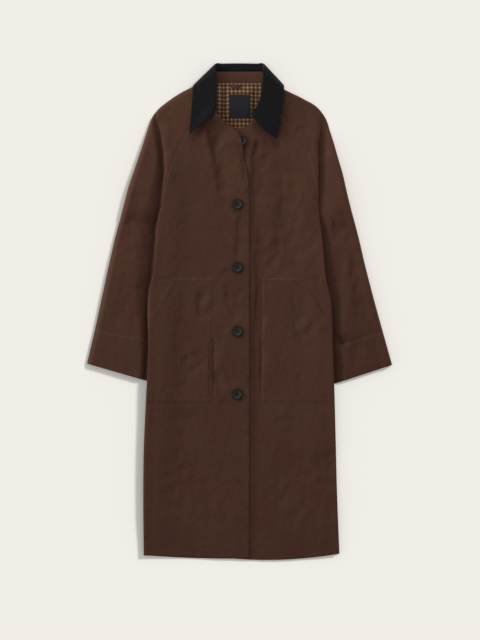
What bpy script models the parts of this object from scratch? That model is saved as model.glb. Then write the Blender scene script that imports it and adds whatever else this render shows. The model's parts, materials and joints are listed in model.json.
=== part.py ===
"""Long raglan coat with a corduroy collar, laid flat on its back and buttoned up the front.

Metres, +Z up from the surface it lies on. +Y runs from the hem to the collar and +X to the
wearer's left. The origin is on the surface, under the middle of the coat's box. Sizes and tables
are in millimetres, and MM turns them into metres.
"""
import math
from collections import namedtuple

import bmesh
import bpy
import numpy as np
from mathutils import Matrix, Vector
from mathutils.bvhtree import BVHTree

MM = 0.001

# Cloth walls
BODY_WALL = 2.0
SLEEVE_WALL = 1.6
POCKET_WALL = 1.4
COLLAR_WALL = 1.8
STAND_WALL = 1.6
LINING_WALL = 1.0
LABEL_WALL = 1.0
LOOP_WALL = 1.0

# Gaps between pieces
LAYER_GAP = 0.3
SEAM_INSET = 0.4
POCKET_GAP = 0.5

# How the coat lies
SLEEVE_TUCK = 24.0
TUCK_RAMP = 60.0
EDGE_CURL = 2.0
NECK_RISE = 2.3
FOLD_FLOOR = 0.3
FOLD_ROOM = 3.6
CREASE_DROP = 18.0
LEFT_HEM_BOW = 9.2
BACK_HEM_BOW = 10.0
LEFT_NECK_DIP = 20.0
RIGHT_NECK_DIP = 8.0
UNDERLAP_CLEAR = 0.5
CORNER_LIFT = 4.4

# Buttons
BUTTON_WIDTH = 25.0
BUTTON_HEIGHT = 3.5
BUTTON_HOLE = 2.2
BUTTON_HOLE_SPACING = 5.0
BUTTON_SIDES = 20

# Columns of each panel's grid
POCKET_COLUMNS = 7
EDGE_COLUMNS = 5
SLEEVE_COLUMNS = 7
BACK_SHARES = (0.0, 0.04, 0.08, 0.12, 0.17, 0.24, 0.50, 0.76, 0.83, 0.88, 0.92, 0.96, 1.0)

FrontRow = namedtuple("FrontRow", "side_x side_y pocket_x edge_x edge_y steps")
SleeveRow = namedtuple("SleeveRow", "inner_x inner_y outer_x outer_y steps")
CollarRow = namedtuple("CollarRow", "seam_x seam_y roll_x roll_y edge_x edge_y over steps")
LiningRow = namedtuple("LiningRow", "left_x right_x y")
Fold = namedtuple("Fold", "start_x start_y end_x end_y width depth")

# Each front from the hem up its side seam, then up the raglan seam to the neck. steps is the number
# of rows from this one to the next.
FRONT_RIGHT = (
    FrontRow(-221, -561, -73, 22, -570, 4),
    FrontRow(-222, -434, -72, 22, -434, 4),
    FrontRow(-221, -323, -69, 22, -323, 4),
    FrontRow(-216, -209, -66, 22, -209, 4),
    FrontRow(-210, -89, -65, 22, -89, 5),
    FrontRow(-208, 49, -63, 22, 49, 1),
    FrontRow(-201, 77, -63, 22, 77, 2),
    FrontRow(-195, 141, -62, 22, 141, 2),
    FrontRow(-190, 201, -61, 22, 201, 2),
    FrontRow(-181, 240, -59, 22, 240, 1),
    FrontRow(-173, 268, -57, 22, 266, 1),
    FrontRow(-166, 300, -54, 20, 296, 1),
    FrontRow(-155, 337, -51, 16, 330, 1),
    FrontRow(-143, 369, -47, 9, 357, 1),
    FrontRow(-131, 392, -43, 4, 377, 1),
    FrontRow(-117, 415, -40, 1, 392, 1),
    FrontRow(-103, 438, -36, -1, 401, 1),
    FrontRow(-89, 462, -32, -3, 408, 1),
    FrontRow(-77, 486, -29, -4, 415, 0),
)
FRONT_LEFT = (
    FrontRow(230, -557, 52, -34, -567, 4),
    FrontRow(225, -434, 52, -34, -434, 4),
    FrontRow(222, -323, 52, -34, -323, 4),
    FrontRow(219, -209, 52, -34, -209, 4),
    FrontRow(215, -89, 52, -34, -89, 5),
    FrontRow(210, 26, 52, -34, 26, 1),
    FrontRow(199, 77, 52, -34, 77, 2),
    FrontRow(193, 141, 50, -34, 141, 2),
    FrontRow(187, 197, 49, -34, 197, 2),
    FrontRow(183, 224, 48, -34, 224, 1),
    FrontRow(178, 263, 47, -34, 259, 1),
    FrontRow(171, 296, 45, -32, 286, 1),
    FrontRow(162, 332, 41, -29, 316, 1),
    FrontRow(150, 362, 38, -26, 342, 1),
    FrontRow(137, 390, 34, -22, 365, 1),
    FrontRow(123, 413, 30, -20, 383, 1),
    FrontRow(104, 440, 24, -17, 399, 1),
    FrontRow(86, 466, 18, -15, 413, 1),
    FrontRow(72, 486, 12, -13, 423, 0),
)
UNDERARM_ROW = 9
BACK_NECK = ((-75, 524), (70, 524))

# Each sleeve from the cuff to the neck. Its inner edge is tucked under the body, then follows the
# raglan seam from the underarm up.
SLEEVE_RIGHT = (
    SleeveRow(-195, -165, -351, -120, 3),
    SleeveRow(-189, -77, -333, -43, 3),
    SleeveRow(-187, 6, -316, 36, 3),
    SleeveRow(-181, 84, -299, 114, 2),
    SleeveRow(-180, 141, -285, 174, 2),
    SleeveRow(-189, 178, -276, 208, 1),
    SleeveRow(-192, 199, -267, 243, 2),
    SleeveRow(-181, 240, -256, 286, 1),
    SleeveRow(-173, 268, -243, 325, 1),
    SleeveRow(-166, 300, -231, 360, 1),
    SleeveRow(-155, 337, -220, 394, 1),
    SleeveRow(-143, 369, -211, 422, 1),
    SleeveRow(-131, 392, -203, 444, 1),
    SleeveRow(-117, 415, -187, 466, 1),
    SleeveRow(-103, 438, -165, 484, 1),
    SleeveRow(-89, 462, -123, 510, 1),
    SleeveRow(-78, 484, -80, 527, 0),
)
SLEEVE_LEFT = (
    SleeveRow(200, -172, 351, -123, 3),
    SleeveRow(195, -92, 330, -48, 3),
    SleeveRow(191, -1, 307, 36, 3),
    SleeveRow(178, 79, 287, 114, 2),
    SleeveRow(173, 137, 273, 174, 2),
    SleeveRow(180, 167, 264, 208, 1),
    SleeveRow(189, 190, 256, 238, 2),
    SleeveRow(183, 224, 247, 275, 1),
    SleeveRow(178, 263, 237, 319, 1),
    SleeveRow(171, 296, 227, 353, 1),
    SleeveRow(162, 332, 218, 385, 1),
    SleeveRow(150, 362, 209, 413, 1),
    SleeveRow(137, 390, 198, 445, 1),
    SleeveRow(123, 413, 179, 470, 1),
    SleeveRow(104, 440, 146, 490, 1),
    SleeveRow(86, 466, 109, 508, 1),
    SleeveRow(73, 484, 75, 525, 0),
)

# The crease where the upper arm folds under the body, from the underarm to the shoulder: x, y
CREASE_RIGHT = ((-177, 279), (-173, 321), (-176, 360), (-183, 406), (-192, 447))
CREASE_LEFT = ((184, 279), (184, 321), (185, 360), (187, 406), (190, 447))

# Height of the body's edge over the tucked sleeve, and over the surface below the cuffs: y, height
EDGE_LIFT = (
    (-561, 1.5), (-434, 2.0), (-260, 3.0), (-185, 4.3), (275, 4.3), (345, 2.2), (410, 0.0),
)

# The collar from its right end round the back of the neck to its left end: its seam, its roll and
# its edge. over is 1 where the leaf lies on the front and -1 where it lies behind the back.
COLLAR = (
    CollarRow(-63.5, 454, -58, 451, -116, 407, 1.0, 2),
    CollarRow(-60, 476, -54, 475, -113, 436, 1.0, 2),
    CollarRow(-60, 504, -54, 503, -110, 470, 1.0, 2),
    CollarRow(-60, 530, -54, 530, -108, 500, 1.0, 2),
    CollarRow(-60, 548, -55, 551, -107, 516, 0.85, 2),
    CollarRow(-57.5, 556, -57, 566, -104, 522, 0.1, 2),
    CollarRow(-54, 555, -55, 569.5, -99, 525, -0.8, 2),
    CollarRow(-40, 555, -40, 570, -78, 505, -1.0, 3),
    CollarRow(0, 554, 0, 570.5, 0, 493, -1.0, 3),
    CollarRow(40, 555, 40, 570, 76, 505, -1.0, 2),
    CollarRow(54, 555, 55, 569.5, 96, 525, -0.8, 2),
    CollarRow(58, 558, 57, 566, 100.5, 522, 0.1, 2),
    CollarRow(59, 548, 55, 551, 102, 516, 0.85, 2),
    CollarRow(59, 530, 53, 530, 101, 500, 1.0, 2),
    CollarRow(55, 498, 49, 498, 96, 468, 1.0, 2),
    CollarRow(47, 473, 41, 473, 92, 434, 1.0, 2),
    CollarRow(31, 452, 25, 453, 86, 396, 1.0, 0),
)
ROLL_RADIUS = 1.4
ROLL_SEAT = 10.7
STRIP_LEVEL = 3.8
FALL_LEVEL = 1.0

LINING = (
    LiningRow(-40, 38, 390),
    LiningRow(-60, 56, 415),
    LiningRow(-70, 68, 445),
    LiningRow(-72, 70, 485),
    LiningRow(-68, 66, 523),
)
LINING_RISE = LINING_WALL + LAYER_GAP + 0.4
STAND_LOWER = (-66, 64, 525.5)
STAND_UPPER = (-54, 52, 552.5)
LABEL = (-24, 23, 445, 498)
HANGER_LOOP = (-20, 2, 514, 522)

# Pocket edges, and where each slanted opening leaves the pocket's top and meets the side seam: x, y
POCKET_TOP = 77
POCKET_BOTTOM = -209
OPENING_RIGHT = ((-151, 77), (-204, -15))
OPENING_LEFT = ((141, 77), (208, -31))

# Button centres: x, y
LOOSE_BUTTON = (4, 393)
CLOSED_BUTTONS = ((-6, 247), (-6, 102), (-6, -45), (-7, -190))

FRONT_FOLDS = (
    Fold(-142, 63, -135, -208, 11, 2.2),
    Fold(-135, -208, -148, -290, 14, 1.6),
    Fold(-93, 54, -89, -26, 10, 1.6),
    Fold(-130, -100, -100, -144, 9, 1.4),
    Fold(-61, -130, -38, -183, 8, 1.2),
    Fold(-68, 431, -43, 289, 8, 2.2),
    Fold(-160, -300, -182, -480, 26, 1.6),
    Fold(45, 394, 26, 307, 9, 2.4),
    Fold(36, 222, 38, -204, 9, 1.8),
    Fold(127, 45, 132, -24, 14, 2.2),
    Fold(132, -24, 171, -116, 14, 2.0),
    Fold(95, -300, 110, -520, 30, 1.6),
    Fold(190, -320, 205, -420, 16, 1.4),
)
SLEEVE_FOLDS = (
    Fold(231, -56, 242, -89, 8, 1.8),
    Fold(256, -93, 268, -130, 8, 1.8),
    Fold(-250, 230, -275, 120, 16, 1.2),
)

COLOURS = {
    "waxed_cotton_brown": (0.060, 0.028, 0.018),
    "corduroy_black": (0.009, 0.009, 0.011),
    "check_lining": (0.081, 0.047, 0.029),
    "woven_label_black": (0.020, 0.019, 0.022),
    "button_dark": (0.018, 0.016, 0.016),
}


def ease(value):
    """Smooth step from 0 at 0 to 1 at 1."""
    t = np.clip(value, 0.0, 1.0)
    return t * t * (3.0 - 2.0 * t)


def refine(points, steps):
    """Smooth curve through a table's points, with the given number of steps after each."""
    points = np.array(points, dtype=float)
    lengths = np.linalg.norm(np.diff(points[:, :2], axis=0), axis=1)
    slopes = np.diff(points, axis=0) / lengths[:, None]
    tangents = np.empty_like(points)
    tangents[0] = slopes[0]
    tangents[-1] = slopes[-1]
    share = (lengths[:-1] / (lengths[:-1] + lengths[1:]))[:, None]
    tangents[1:-1] = slopes[:-1] * (1.0 - share) + slopes[1:] * share
    curve = []
    for i, length in enumerate(lengths):
        for t in np.arange(steps[i]) / steps[i]:
            blend = t * t * (3.0 - 2.0 * t)
            leave = (t - 1.0) ** 2 * t * length
            arrive = (t - 1.0) * t * t * length
            curve.append(points[i] * (1.0 - blend) + points[i + 1] * blend
                         + tangents[i] * leave + tangents[i + 1] * arrive)
    curve.append(points[-1])
    return np.array(curve)


def side_line(table, crease):
    """The body's side edge from the hem to the underarm and on along the crease, as x at y."""
    sides = [(row.side_x, row.side_y) for row in table[:UNDERARM_ROW + 1]]
    line = np.array(sides + list(crease), dtype=float)
    return line[:, 1], line[:, 0]


SIDE_RIGHT = side_line(FRONT_RIGHT, CREASE_RIGHT)
SIDE_LEFT = side_line(FRONT_LEFT, CREASE_LEFT)


def inside(x, y):
    """Distance in from the nearer side edge or crease, negative out on the sleeve."""
    from_right = x - np.interp(y, *SIDE_RIGHT)
    from_left = np.interp(y, *SIDE_LEFT) - x
    return np.minimum(from_right, from_left)


def edge_lift(y):
    """How far the body's edge is lifted at y."""
    lift = np.array(EDGE_LIFT)
    return np.interp(y, lift[:, 0], lift[:, 1])


def neck_lift(x, y):
    """Rise of the panels over the collar's fall behind the neck."""
    return NECK_RISE * ease((y - 430) / 55) * (1.0 - ease((abs(x) - 118) / 45))


def underarm(x):
    """Height of the underarm point on the side of x."""
    return np.where(x < 0, FRONT_RIGHT[UNDERARM_ROW].side_y, FRONT_LEFT[UNDERARM_ROW].side_y)


def back_floor(x, y):
    """Underside of the back."""
    depth = inside(x, y)
    tucked = edge_lift(y) * (1.0 - ease((depth - SLEEVE_TUCK) / TUCK_RAMP))
    curl = EDGE_CURL * (1.0 - ease(depth / 25)) * (1.0 - ease((y - 150) / 70))
    return tucked + curl + neck_lift(x, y)


def sleeve_floor(x, y):
    """Underside of a sleeve's back half."""
    above_crease = ease((inside(x, y) + CREASE_DROP) / CREASE_DROP)
    above_underarm = ease((y - underarm(x) + 45) / 45)
    return edge_lift(y) * above_crease * above_underarm + neck_lift(x, y)


def fold_depth(folds, x, y):
    """Summed depth of soft troughs at a point."""
    depth = np.zeros_like(x)
    for fold in folds:
        along_x = fold.end_x - fold.start_x
        along_y = fold.end_y - fold.start_y
        share = ((x - fold.start_x) * along_x + (y - fold.start_y) * along_y) / (along_x ** 2 + along_y ** 2)
        share = np.clip(share, 0.0, 1.0)
        away = np.hypot(x - fold.start_x - share * along_x, y - fold.start_y - share * along_y)
        depth += fold.depth * np.exp(-(away / fold.width) ** 2)
    return depth


def front_floor(x, y):
    """Underside of a front where nothing but the back and the lining is under it."""
    depth = inside(x, y)
    puff = ease((depth + 2) / 14) * (1.2 + 2.0 * np.exp(-((depth - 14) / 55) ** 2))
    puff = puff * (0.5 + 0.5 * ease((y + 571) / 60))
    relief = np.clip(puff - fold_depth(FRONT_FOLDS, x, y), FOLD_FLOOR, FOLD_ROOM)
    lining = LINING_RISE * ease((y - 372) / 22) * (1.0 - ease((abs(x + 1) - 72) / 20))
    return back_floor(x, y) + BODY_WALL + LAYER_GAP + lining + relief


def overlap_floor(x, y):
    """Underside of the right front, which also lies on the left front and on the loose button."""
    edges = np.array([(row.edge_y, row.edge_x) for row in FRONT_LEFT], dtype=float)
    under_edge = np.interp(y, edges[:, 0], edges[:, 1])
    step = BODY_WALL + LAYER_GAP + UNDERLAP_CLEAR
    away = np.hypot(x - LOOSE_BUTTON[0], y - LOOSE_BUTTON[1])
    corner = CORNER_LIFT * ease((36 - away) / 16)
    return front_floor(x, y) + step * ease((x - under_edge + 24) / 18) + corner


def sleeve_front_floor(x, y, from_outer):
    """Underside of a sleeve's front half, from_outer being the distance in from its outer edge."""
    out = -inside(x, y)
    above_underarm = ease((y - underarm(x) + 45) / 45)
    beyond = np.where(out > 0, 2.6 * ease((out - 4) / 45), 2.4 * ease(-out / 8) * above_underarm)
    creased = 1.0 - ease((y - 400) / 50)
    puff = 2.4 + (beyond - 2.4) * creased
    relief = puff * ease(from_outer / 16) - fold_depth(SLEEVE_FOLDS, x, y)
    return sleeve_floor(x, y) + SLEEVE_WALL + LAYER_GAP + np.clip(relief, 0.0, FOLD_ROOM)


def in_space(flat, heights):
    """Points of a grid from its plan and its heights."""
    return np.concatenate([flat, heights[..., None]], axis=2)


def front_plan(table, hem_bow, neck_dip):
    """Plan of a front's grid: columns from the side, by the pocket's inner line, to the edge."""
    steps = [row.steps for row in table]
    side = refine([(row.side_x, row.side_y, row.pocket_x) for row in table], steps)
    edge = refine([(row.edge_x, row.edge_y) for row in table], steps)
    rows = []
    for (side_x, side_y, pocket_x), (edge_x, edge_y) in zip(side, edge):
        inward = math.copysign(SEAM_INSET, edge_x - side_x)
        outer = np.linspace(side_x + inward, pocket_x, POCKET_COLUMNS + 1)
        inner = np.linspace(pocket_x, edge_x, EDGE_COLUMNS + 1)
        x = np.concatenate([outer, inner[1:]])
        share = (x - side_x) / (edge_x - side_x)
        bow = hem_bow * (1 - ease((side_y + 561) / 120)) + neck_dip * ease((side_y - 400) / 86)
        y = side_y + share * (edge_y - side_y) - bow * 4 * share * (1 - share)
        rows.append(np.column_stack([x, y]))
    return np.array(rows)


def back_plan():
    """Plan of the back's grid, between the two side and raglan seams and up to the neck."""
    steps = [row.steps for row in FRONT_RIGHT[:-1]] + [1, 0]
    right = refine([(row.side_x, row.side_y) for row in FRONT_RIGHT] + [BACK_NECK[0]], steps)
    left = refine([(row.side_x, row.side_y) for row in FRONT_LEFT] + [BACK_NECK[1]], steps)
    right[:, 0] += SEAM_INSET
    left[:, 0] -= SEAM_INSET
    share = np.array(BACK_SHARES)[None, :, None]
    flat = right[:, None, :] * (1 - share) + left[:, None, :] * share
    share = share[..., 0]
    flat[..., 1] -= BACK_HEM_BOW * 4 * share * (1 - share) * (1 - ease((flat[..., 1] + 561) / 120))
    return flat


def sleeve_plan(table):
    """Plan of a sleeve's grid and each point's distance in from the outer edge."""
    steps = [row.steps for row in table]
    inner = refine([(row.inner_x, row.inner_y) for row in table], steps)
    outer = refine([(row.outer_x, row.outer_y) for row in table], steps)
    inner[:, 0] += np.copysign(SEAM_INSET, inner[:, 0])
    share = np.linspace(0, 1, SLEEVE_COLUMNS + 1)[None, :]
    flat = inner[:, None, :] * (1 - share[..., None]) + outer[:, None, :] * share[..., None]
    width = np.linalg.norm(outer - inner, axis=1)[:, None]
    return flat, width * (1 - share)


def lining_plan():
    """Plan of the lining that shows in the neck."""
    left = refine([(row.left_x, row.y) for row in LINING], [1] * len(LINING))
    right = refine([(row.right_x, row.y) for row in LINING], [1] * len(LINING))
    share = np.linspace(0, 1, 9)[None, :, None]
    return left[:, None, :] * (1 - share) + right[:, None, :] * share


def rectangle_plan(left, right, lower, upper, columns, rows):
    """Plan of a plain rectangle."""
    x, y = np.meshgrid(np.linspace(left, right, columns + 1), np.linspace(lower, upper, rows + 1))
    return np.stack([x, y], axis=2)


def pocket_plan(front, steps_table, opening):
    """Plan of a pocket from its front's own grid, with the corner at the hand opening cut away."""
    sides = refine([(row.side_x, row.side_y) for row in steps_table], [row.steps for row in steps_table])
    first = int(np.argmin(abs(sides[:, 1] - POCKET_BOTTOM)))
    last = int(np.argmin(abs(sides[:, 1] - POCKET_TOP)))
    block = front[first:last + 1, :POCKET_COLUMNS + 1].copy()
    (top_x, top_y), (low_x, low_y) = opening
    inward = math.copysign(1.0, block[0, -1, 0] - block[0, 0, 0])
    for row in block:
        rise = (row[0, 1] - low_y) / (top_y - low_y)
        slant_x = low_x + rise * (top_x - low_x)
        start = row[0, 0] + inward
        if rise > 0:
            start = max(start, slant_x) if inward > 0 else min(start, slant_x)
        row[:, 0] = np.linspace(start, row[-1, 0], POCKET_COLUMNS + 1)
    return block


def material(name):
    """Principled material of one colour."""
    made = bpy.data.materials.get(name)
    if made is None:
        made = bpy.data.materials.new(name)
        made.use_nodes = True
        shader = made.node_tree.nodes["Principled BSDF"]
        shader.inputs["Base Color"].default_value = (*COLOURS[name], 1.0)
        shader.inputs["Roughness"].default_value = 0.8
    return made


def add_object(name, mesh, cloth):
    """Named object from a bmesh."""
    data = bpy.data.meshes.new(name)
    mesh.to_mesh(data)
    mesh.free()
    data.materials.append(material(cloth))
    made = bpy.data.objects.new(name, data)
    bpy.context.scene.collection.objects.link(made)
    return made


def grid_mesh(points):
    """Triangulated sheet from a grid of points."""
    rows, columns = points.shape[:2]
    mesh = bmesh.new()
    bmesh.ops.create_grid(mesh, x_segments=columns - 1, y_segments=rows - 1, size=1.0)
    for vert in mesh.verts:
        column = round((vert.co.x + 1) / 2 * (columns - 1))
        row = round((vert.co.y + 1) / 2 * (rows - 1))
        vert.co = Vector(points[row, column]) * MM
    bmesh.ops.triangulate(mesh, faces=mesh.faces[:], quad_method="SHORT_EDGE")
    return mesh


def wall(name, points, thickness, cloth):
    """Closed cloth wall raised from the grid of its underside."""
    mesh = grid_mesh(points)
    raised = bmesh.ops.extrude_face_region(mesh, geom=mesh.faces[:], use_keep_orig=True)
    verts = [item for item in raised["geom"] if isinstance(item, bmesh.types.BMVert)]
    bmesh.ops.translate(mesh, verts=verts, vec=(0, 0, thickness * MM))
    bmesh.ops.recalc_face_normals(mesh, faces=mesh.faces[:])
    return add_object(name, mesh, cloth)


def surface(pieces):
    """Ray-cast tree of some finished pieces."""
    mesh = bmesh.new()
    for piece in pieces:
        mesh.from_mesh(piece.data)
    tree = BVHTree.FromBMesh(mesh)
    mesh.free()
    return tree


def top_of(tree, x, y, reach=0.0):
    """Highest point of the pieces at a place, or within reach of it."""
    places = [(x, y)]
    if reach:
        turns = np.linspace(0, 2 * math.pi, 12, endpoint=False)
        places += [(x + reach * math.cos(a), y + reach * math.sin(a)) for a in turns]
    heights = [0.0]
    for place_x, place_y in places:
        hit = tree.ray_cast(Vector((place_x * MM, place_y * MM, 1.0)), Vector((0, 0, -1)))[0]
        if hit is not None:
            heights.append(hit.z / MM)
    return max(heights)


def collar_section(values, tree):
    """Middle line of the folded collar in one section, from its seam round the roll to its edge."""
    seam_x, seam_y, roll_x, roll_y, edge_x, edge_y, over = values
    share = (over + 1) / 2
    seat = LAYER_GAP + COLLAR_WALL / 2 + 0.2
    seam_z = STRIP_LEVEL * (1 - share) + ROLL_SEAT * share
    leaf_z = FALL_LEVEL * (1 - share) + (ROLL_SEAT + 2 * ROLL_RADIUS) * share
    edge_z = FALL_LEVEL * (1 - share) + (top_of(tree, edge_x, edge_y, 9) + seat) * share
    roll = Vector((roll_x, roll_y, (seam_z + leaf_z) / 2))
    seam = Vector((seam_x, seam_y, seam_z))
    edge = Vector((edge_x, edge_y, edge_z))
    to_seam = (seam - roll).to_2d().normalized()
    to_edge = (edge - roll).to_2d().normalized()
    outward = -(to_seam + to_edge).normalized().to_3d()
    across = (to_edge - to_seam).to_3d() * 6 * (1 - abs(over)) + Vector((0, 0, leaf_z - seam_z))
    across = (across - outward * across.dot(outward)).normalized()
    centre = roll - outward * ROLL_RADIUS
    bend = []
    for turn in (-90, -45, 0, 45, 90):
        angle = math.radians(turn)
        bend.append(centre + (outward * math.cos(angle) + across * math.sin(angle)) * ROLL_RADIUS)
    line = [seam, (seam + bend[0]) / 2] + bend
    for part in (0.3, 0.65, 1.0):
        point = bend[-1].lerp(edge, part)
        if share > 0.95:
            point.z = max(point.z, top_of(tree, point.x, point.y, 9) + seat)
        line.append(point)
    return line


def build_collar(pieces):
    """The collar: a folded band lofted through its sections and given its wall."""
    tree = surface(pieces)
    steps = [row.steps for row in COLLAR]
    seams = refine([(row.seam_x, row.seam_y, row.over) for row in COLLAR], steps)
    rolls = refine([(row.roll_x, row.roll_y) for row in COLLAR], steps)
    edges = refine([(row.edge_x, row.edge_y) for row in COLLAR], steps)
    lines = []
    for seam, roll, edge in zip(seams, rolls, edges):
        over = float(np.clip(seam[2], -1.0, 1.0))
        lines.append(collar_section((seam[0], seam[1], *roll, *edge, over), tree))
    mesh = grid_mesh(np.array(lines))
    bmesh.ops.recalc_face_normals(mesh, faces=mesh.faces[:])
    collar = add_object("collar", mesh, "corduroy_black")
    solid = collar.modifiers.new("Wall", "SOLIDIFY")
    solid.thickness = COLLAR_WALL * MM
    solid.offset = 0.0
    return collar


def button_mesh():
    """One four-hole button standing on the origin."""
    radius = BUTTON_WIDTH / 2
    profile = (
        (0.0, 0.0), (radius - 1.5, 0.0), (radius, 1.2), (radius, BUTTON_HEIGHT - 1.1),
        (radius - 0.9, BUTTON_HEIGHT), (radius - 2.7, BUTTON_HEIGHT), (radius - 3.9, BUTTON_HEIGHT - 1.0),
        (0.0, BUTTON_HEIGHT - 1.2),
    )
    mesh = bmesh.new()
    verts = [mesh.verts.new((r * MM, 0.0, z * MM)) for r, z in profile]
    edges = [mesh.edges.new(pair) for pair in zip(verts, verts[1:])]
    bmesh.ops.spin(mesh, geom=verts + edges, cent=(0, 0, 0), axis=(0, 0, 1), angle=2 * math.pi,
                   steps=BUTTON_SIDES, use_merge=True)
    bmesh.ops.remove_doubles(mesh, verts=mesh.verts[:], dist=0.00001)
    bmesh.ops.recalc_face_normals(mesh, faces=mesh.faces[:])
    return mesh


def hole_mesh():
    """The four thread holes of a button, as one cutter."""
    mesh = bmesh.new()
    for turn in (45, 135, 225, 315):
        angle = math.radians(turn)
        away = BUTTON_HOLE_SPACING / math.sqrt(2)
        place = Vector((away * math.cos(angle), away * math.sin(angle), BUTTON_HEIGHT / 2)) * MM
        bmesh.ops.create_cone(mesh, cap_ends=True, segments=6, radius1=BUTTON_HOLE / 2 * MM,
                              radius2=BUTTON_HOLE / 2 * MM, depth=3 * BUTTON_HEIGHT * MM,
                              matrix=Matrix.Translation(place))
    return mesh


def build_button(name, centre, pieces):
    """A button resting on the pieces under it, with its thread holes cut."""
    tree = surface(pieces)
    x, y = centre
    heights = [top_of(tree, x, y, BUTTON_WIDTH / 2 * part) for part in (0.3, 0.65, 1.0)]
    place = Vector((x, y, max(heights) + LAYER_GAP)) * MM
    button = add_object(name, button_mesh(), "button_dark")
    cutter = add_object(name + "_holes", hole_mesh(), "button_dark")
    for part in (button, cutter):
        part.data.transform(Matrix.Translation(place))
    cutter.hide_render = True
    cutter.display_type = "WIRE"
    cut = button.modifiers.new("Thread holes", "BOOLEAN")
    cut.operation = "DIFFERENCE"
    cut.solver = "EXACT"
    cut.object = cutter
    return button


def build_sleeve(name, table):
    """Both halves of a sleeve."""
    flat, from_outer = sleeve_plan(table)
    x, y = flat[..., 0], flat[..., 1]
    lower = in_space(flat, sleeve_floor(x, y))
    upper = in_space(flat, sleeve_front_floor(x, y, from_outer))
    wall(name + "_back", lower, SLEEVE_WALL, "waxed_cotton_brown")
    return wall(name + "_front", upper, SLEEVE_WALL, "waxed_cotton_brown")


def build_body():
    """The back and the two fronts, with their plans for the pockets."""
    flat = back_plan()
    back = wall("back", in_space(flat, back_floor(flat[..., 0], flat[..., 1])), BODY_WALL,
                "waxed_cotton_brown")
    left_flat = front_plan(FRONT_LEFT, LEFT_HEM_BOW, LEFT_NECK_DIP)
    left = wall("front_left", in_space(left_flat, front_floor(left_flat[..., 0], left_flat[..., 1])),
                BODY_WALL, "waxed_cotton_brown")
    right_flat = front_plan(FRONT_RIGHT, 0.0, RIGHT_NECK_DIP)
    right = wall("front_right",
                 in_space(right_flat, overlap_floor(right_flat[..., 0], right_flat[..., 1])),
                 BODY_WALL, "waxed_cotton_brown")
    return back, (left, left_flat), (right, right_flat)


def build_pocket(name, front, flat, table, opening):
    """A patch pocket resting on its front."""
    tree = surface([front])
    plan = pocket_plan(flat, table, opening)
    heights = np.zeros(plan.shape[:2])
    for index in np.ndindex(heights.shape):
        heights[index] = top_of(tree, *plan[index], reach=3) + POCKET_GAP
    return wall(name, in_space(plan, heights), POCKET_WALL, "waxed_cotton_brown")


def build_neck():
    """Stand, lining, label and hanger loop inside the neck."""
    lower, upper = STAND_LOWER, STAND_UPPER
    share = np.linspace(0, 1, 9)
    rows = [np.column_stack([left + share * (right - left), np.full(9, y)])
            for left, right, y in (lower, upper)]
    stand = np.array(rows)
    wall("collar_stand", in_space(stand, np.full(stand.shape[:2], NECK_RISE)), STAND_WALL,
         "waxed_cotton_brown")
    plan = lining_plan()
    heights = back_floor(plan[..., 0], plan[..., 1]) + BODY_WALL + LAYER_GAP
    lining = wall("lining", in_space(plan, heights), LINING_WALL, "check_lining")
    tree = surface([lining])
    for name, box, thickness, cloth in (
        ("label", LABEL, LABEL_WALL, "woven_label_black"),
        ("hanger_loop", HANGER_LOOP, LOOP_WALL, "waxed_cotton_brown"),
    ):
        plan = rectangle_plan(*box, 3, 4)
        heights = np.zeros(plan.shape[:2])
        for index in np.ndindex(heights.shape):
            heights[index] = top_of(tree, *plan[index], reach=4) + LAYER_GAP
        wall(name, in_space(plan, heights), thickness, cloth)


def build_coat():
    """Every piece of the coat, from the surface up."""
    for old in list(bpy.data.objects):
        bpy.data.objects.remove(old, do_unlink=True)
    sleeve_right = build_sleeve("sleeve_right", SLEEVE_RIGHT)
    sleeve_left = build_sleeve("sleeve_left", SLEEVE_LEFT)
    back, (left, left_flat), (right, right_flat) = build_body()
    build_neck()
    build_pocket("pocket_right", right, right_flat, FRONT_RIGHT, OPENING_RIGHT)
    build_pocket("pocket_left", left, left_flat, FRONT_LEFT, OPENING_LEFT)
    build_button("button_1", LOOSE_BUTTON, [left])
    for number, centre in enumerate(CLOSED_BUTTONS, start=2):
        build_button(f"button_{number}", centre, [right])
    build_collar([sleeve_right, sleeve_left, left, right, back])


build_coat()
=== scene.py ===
"""Long raglan coat in waxed cotton, laid flat: its cloth, collar, neck, buttons, sewing and stage.

Metres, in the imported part's frame: +Y from the hem to the collar, +X to the wearer's left, +Z up.
Sizes and tables are in millimetres, and MM turns them into metres.
"""
import json
import math
from collections import namedtuple

import bmesh
import bpy
import numpy as np
from bpy.props import FloatProperty, FloatVectorProperty, PointerProperty
from mathutils import Matrix, Vector, noise
from mathutils.bvhtree import BVHTree

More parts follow.
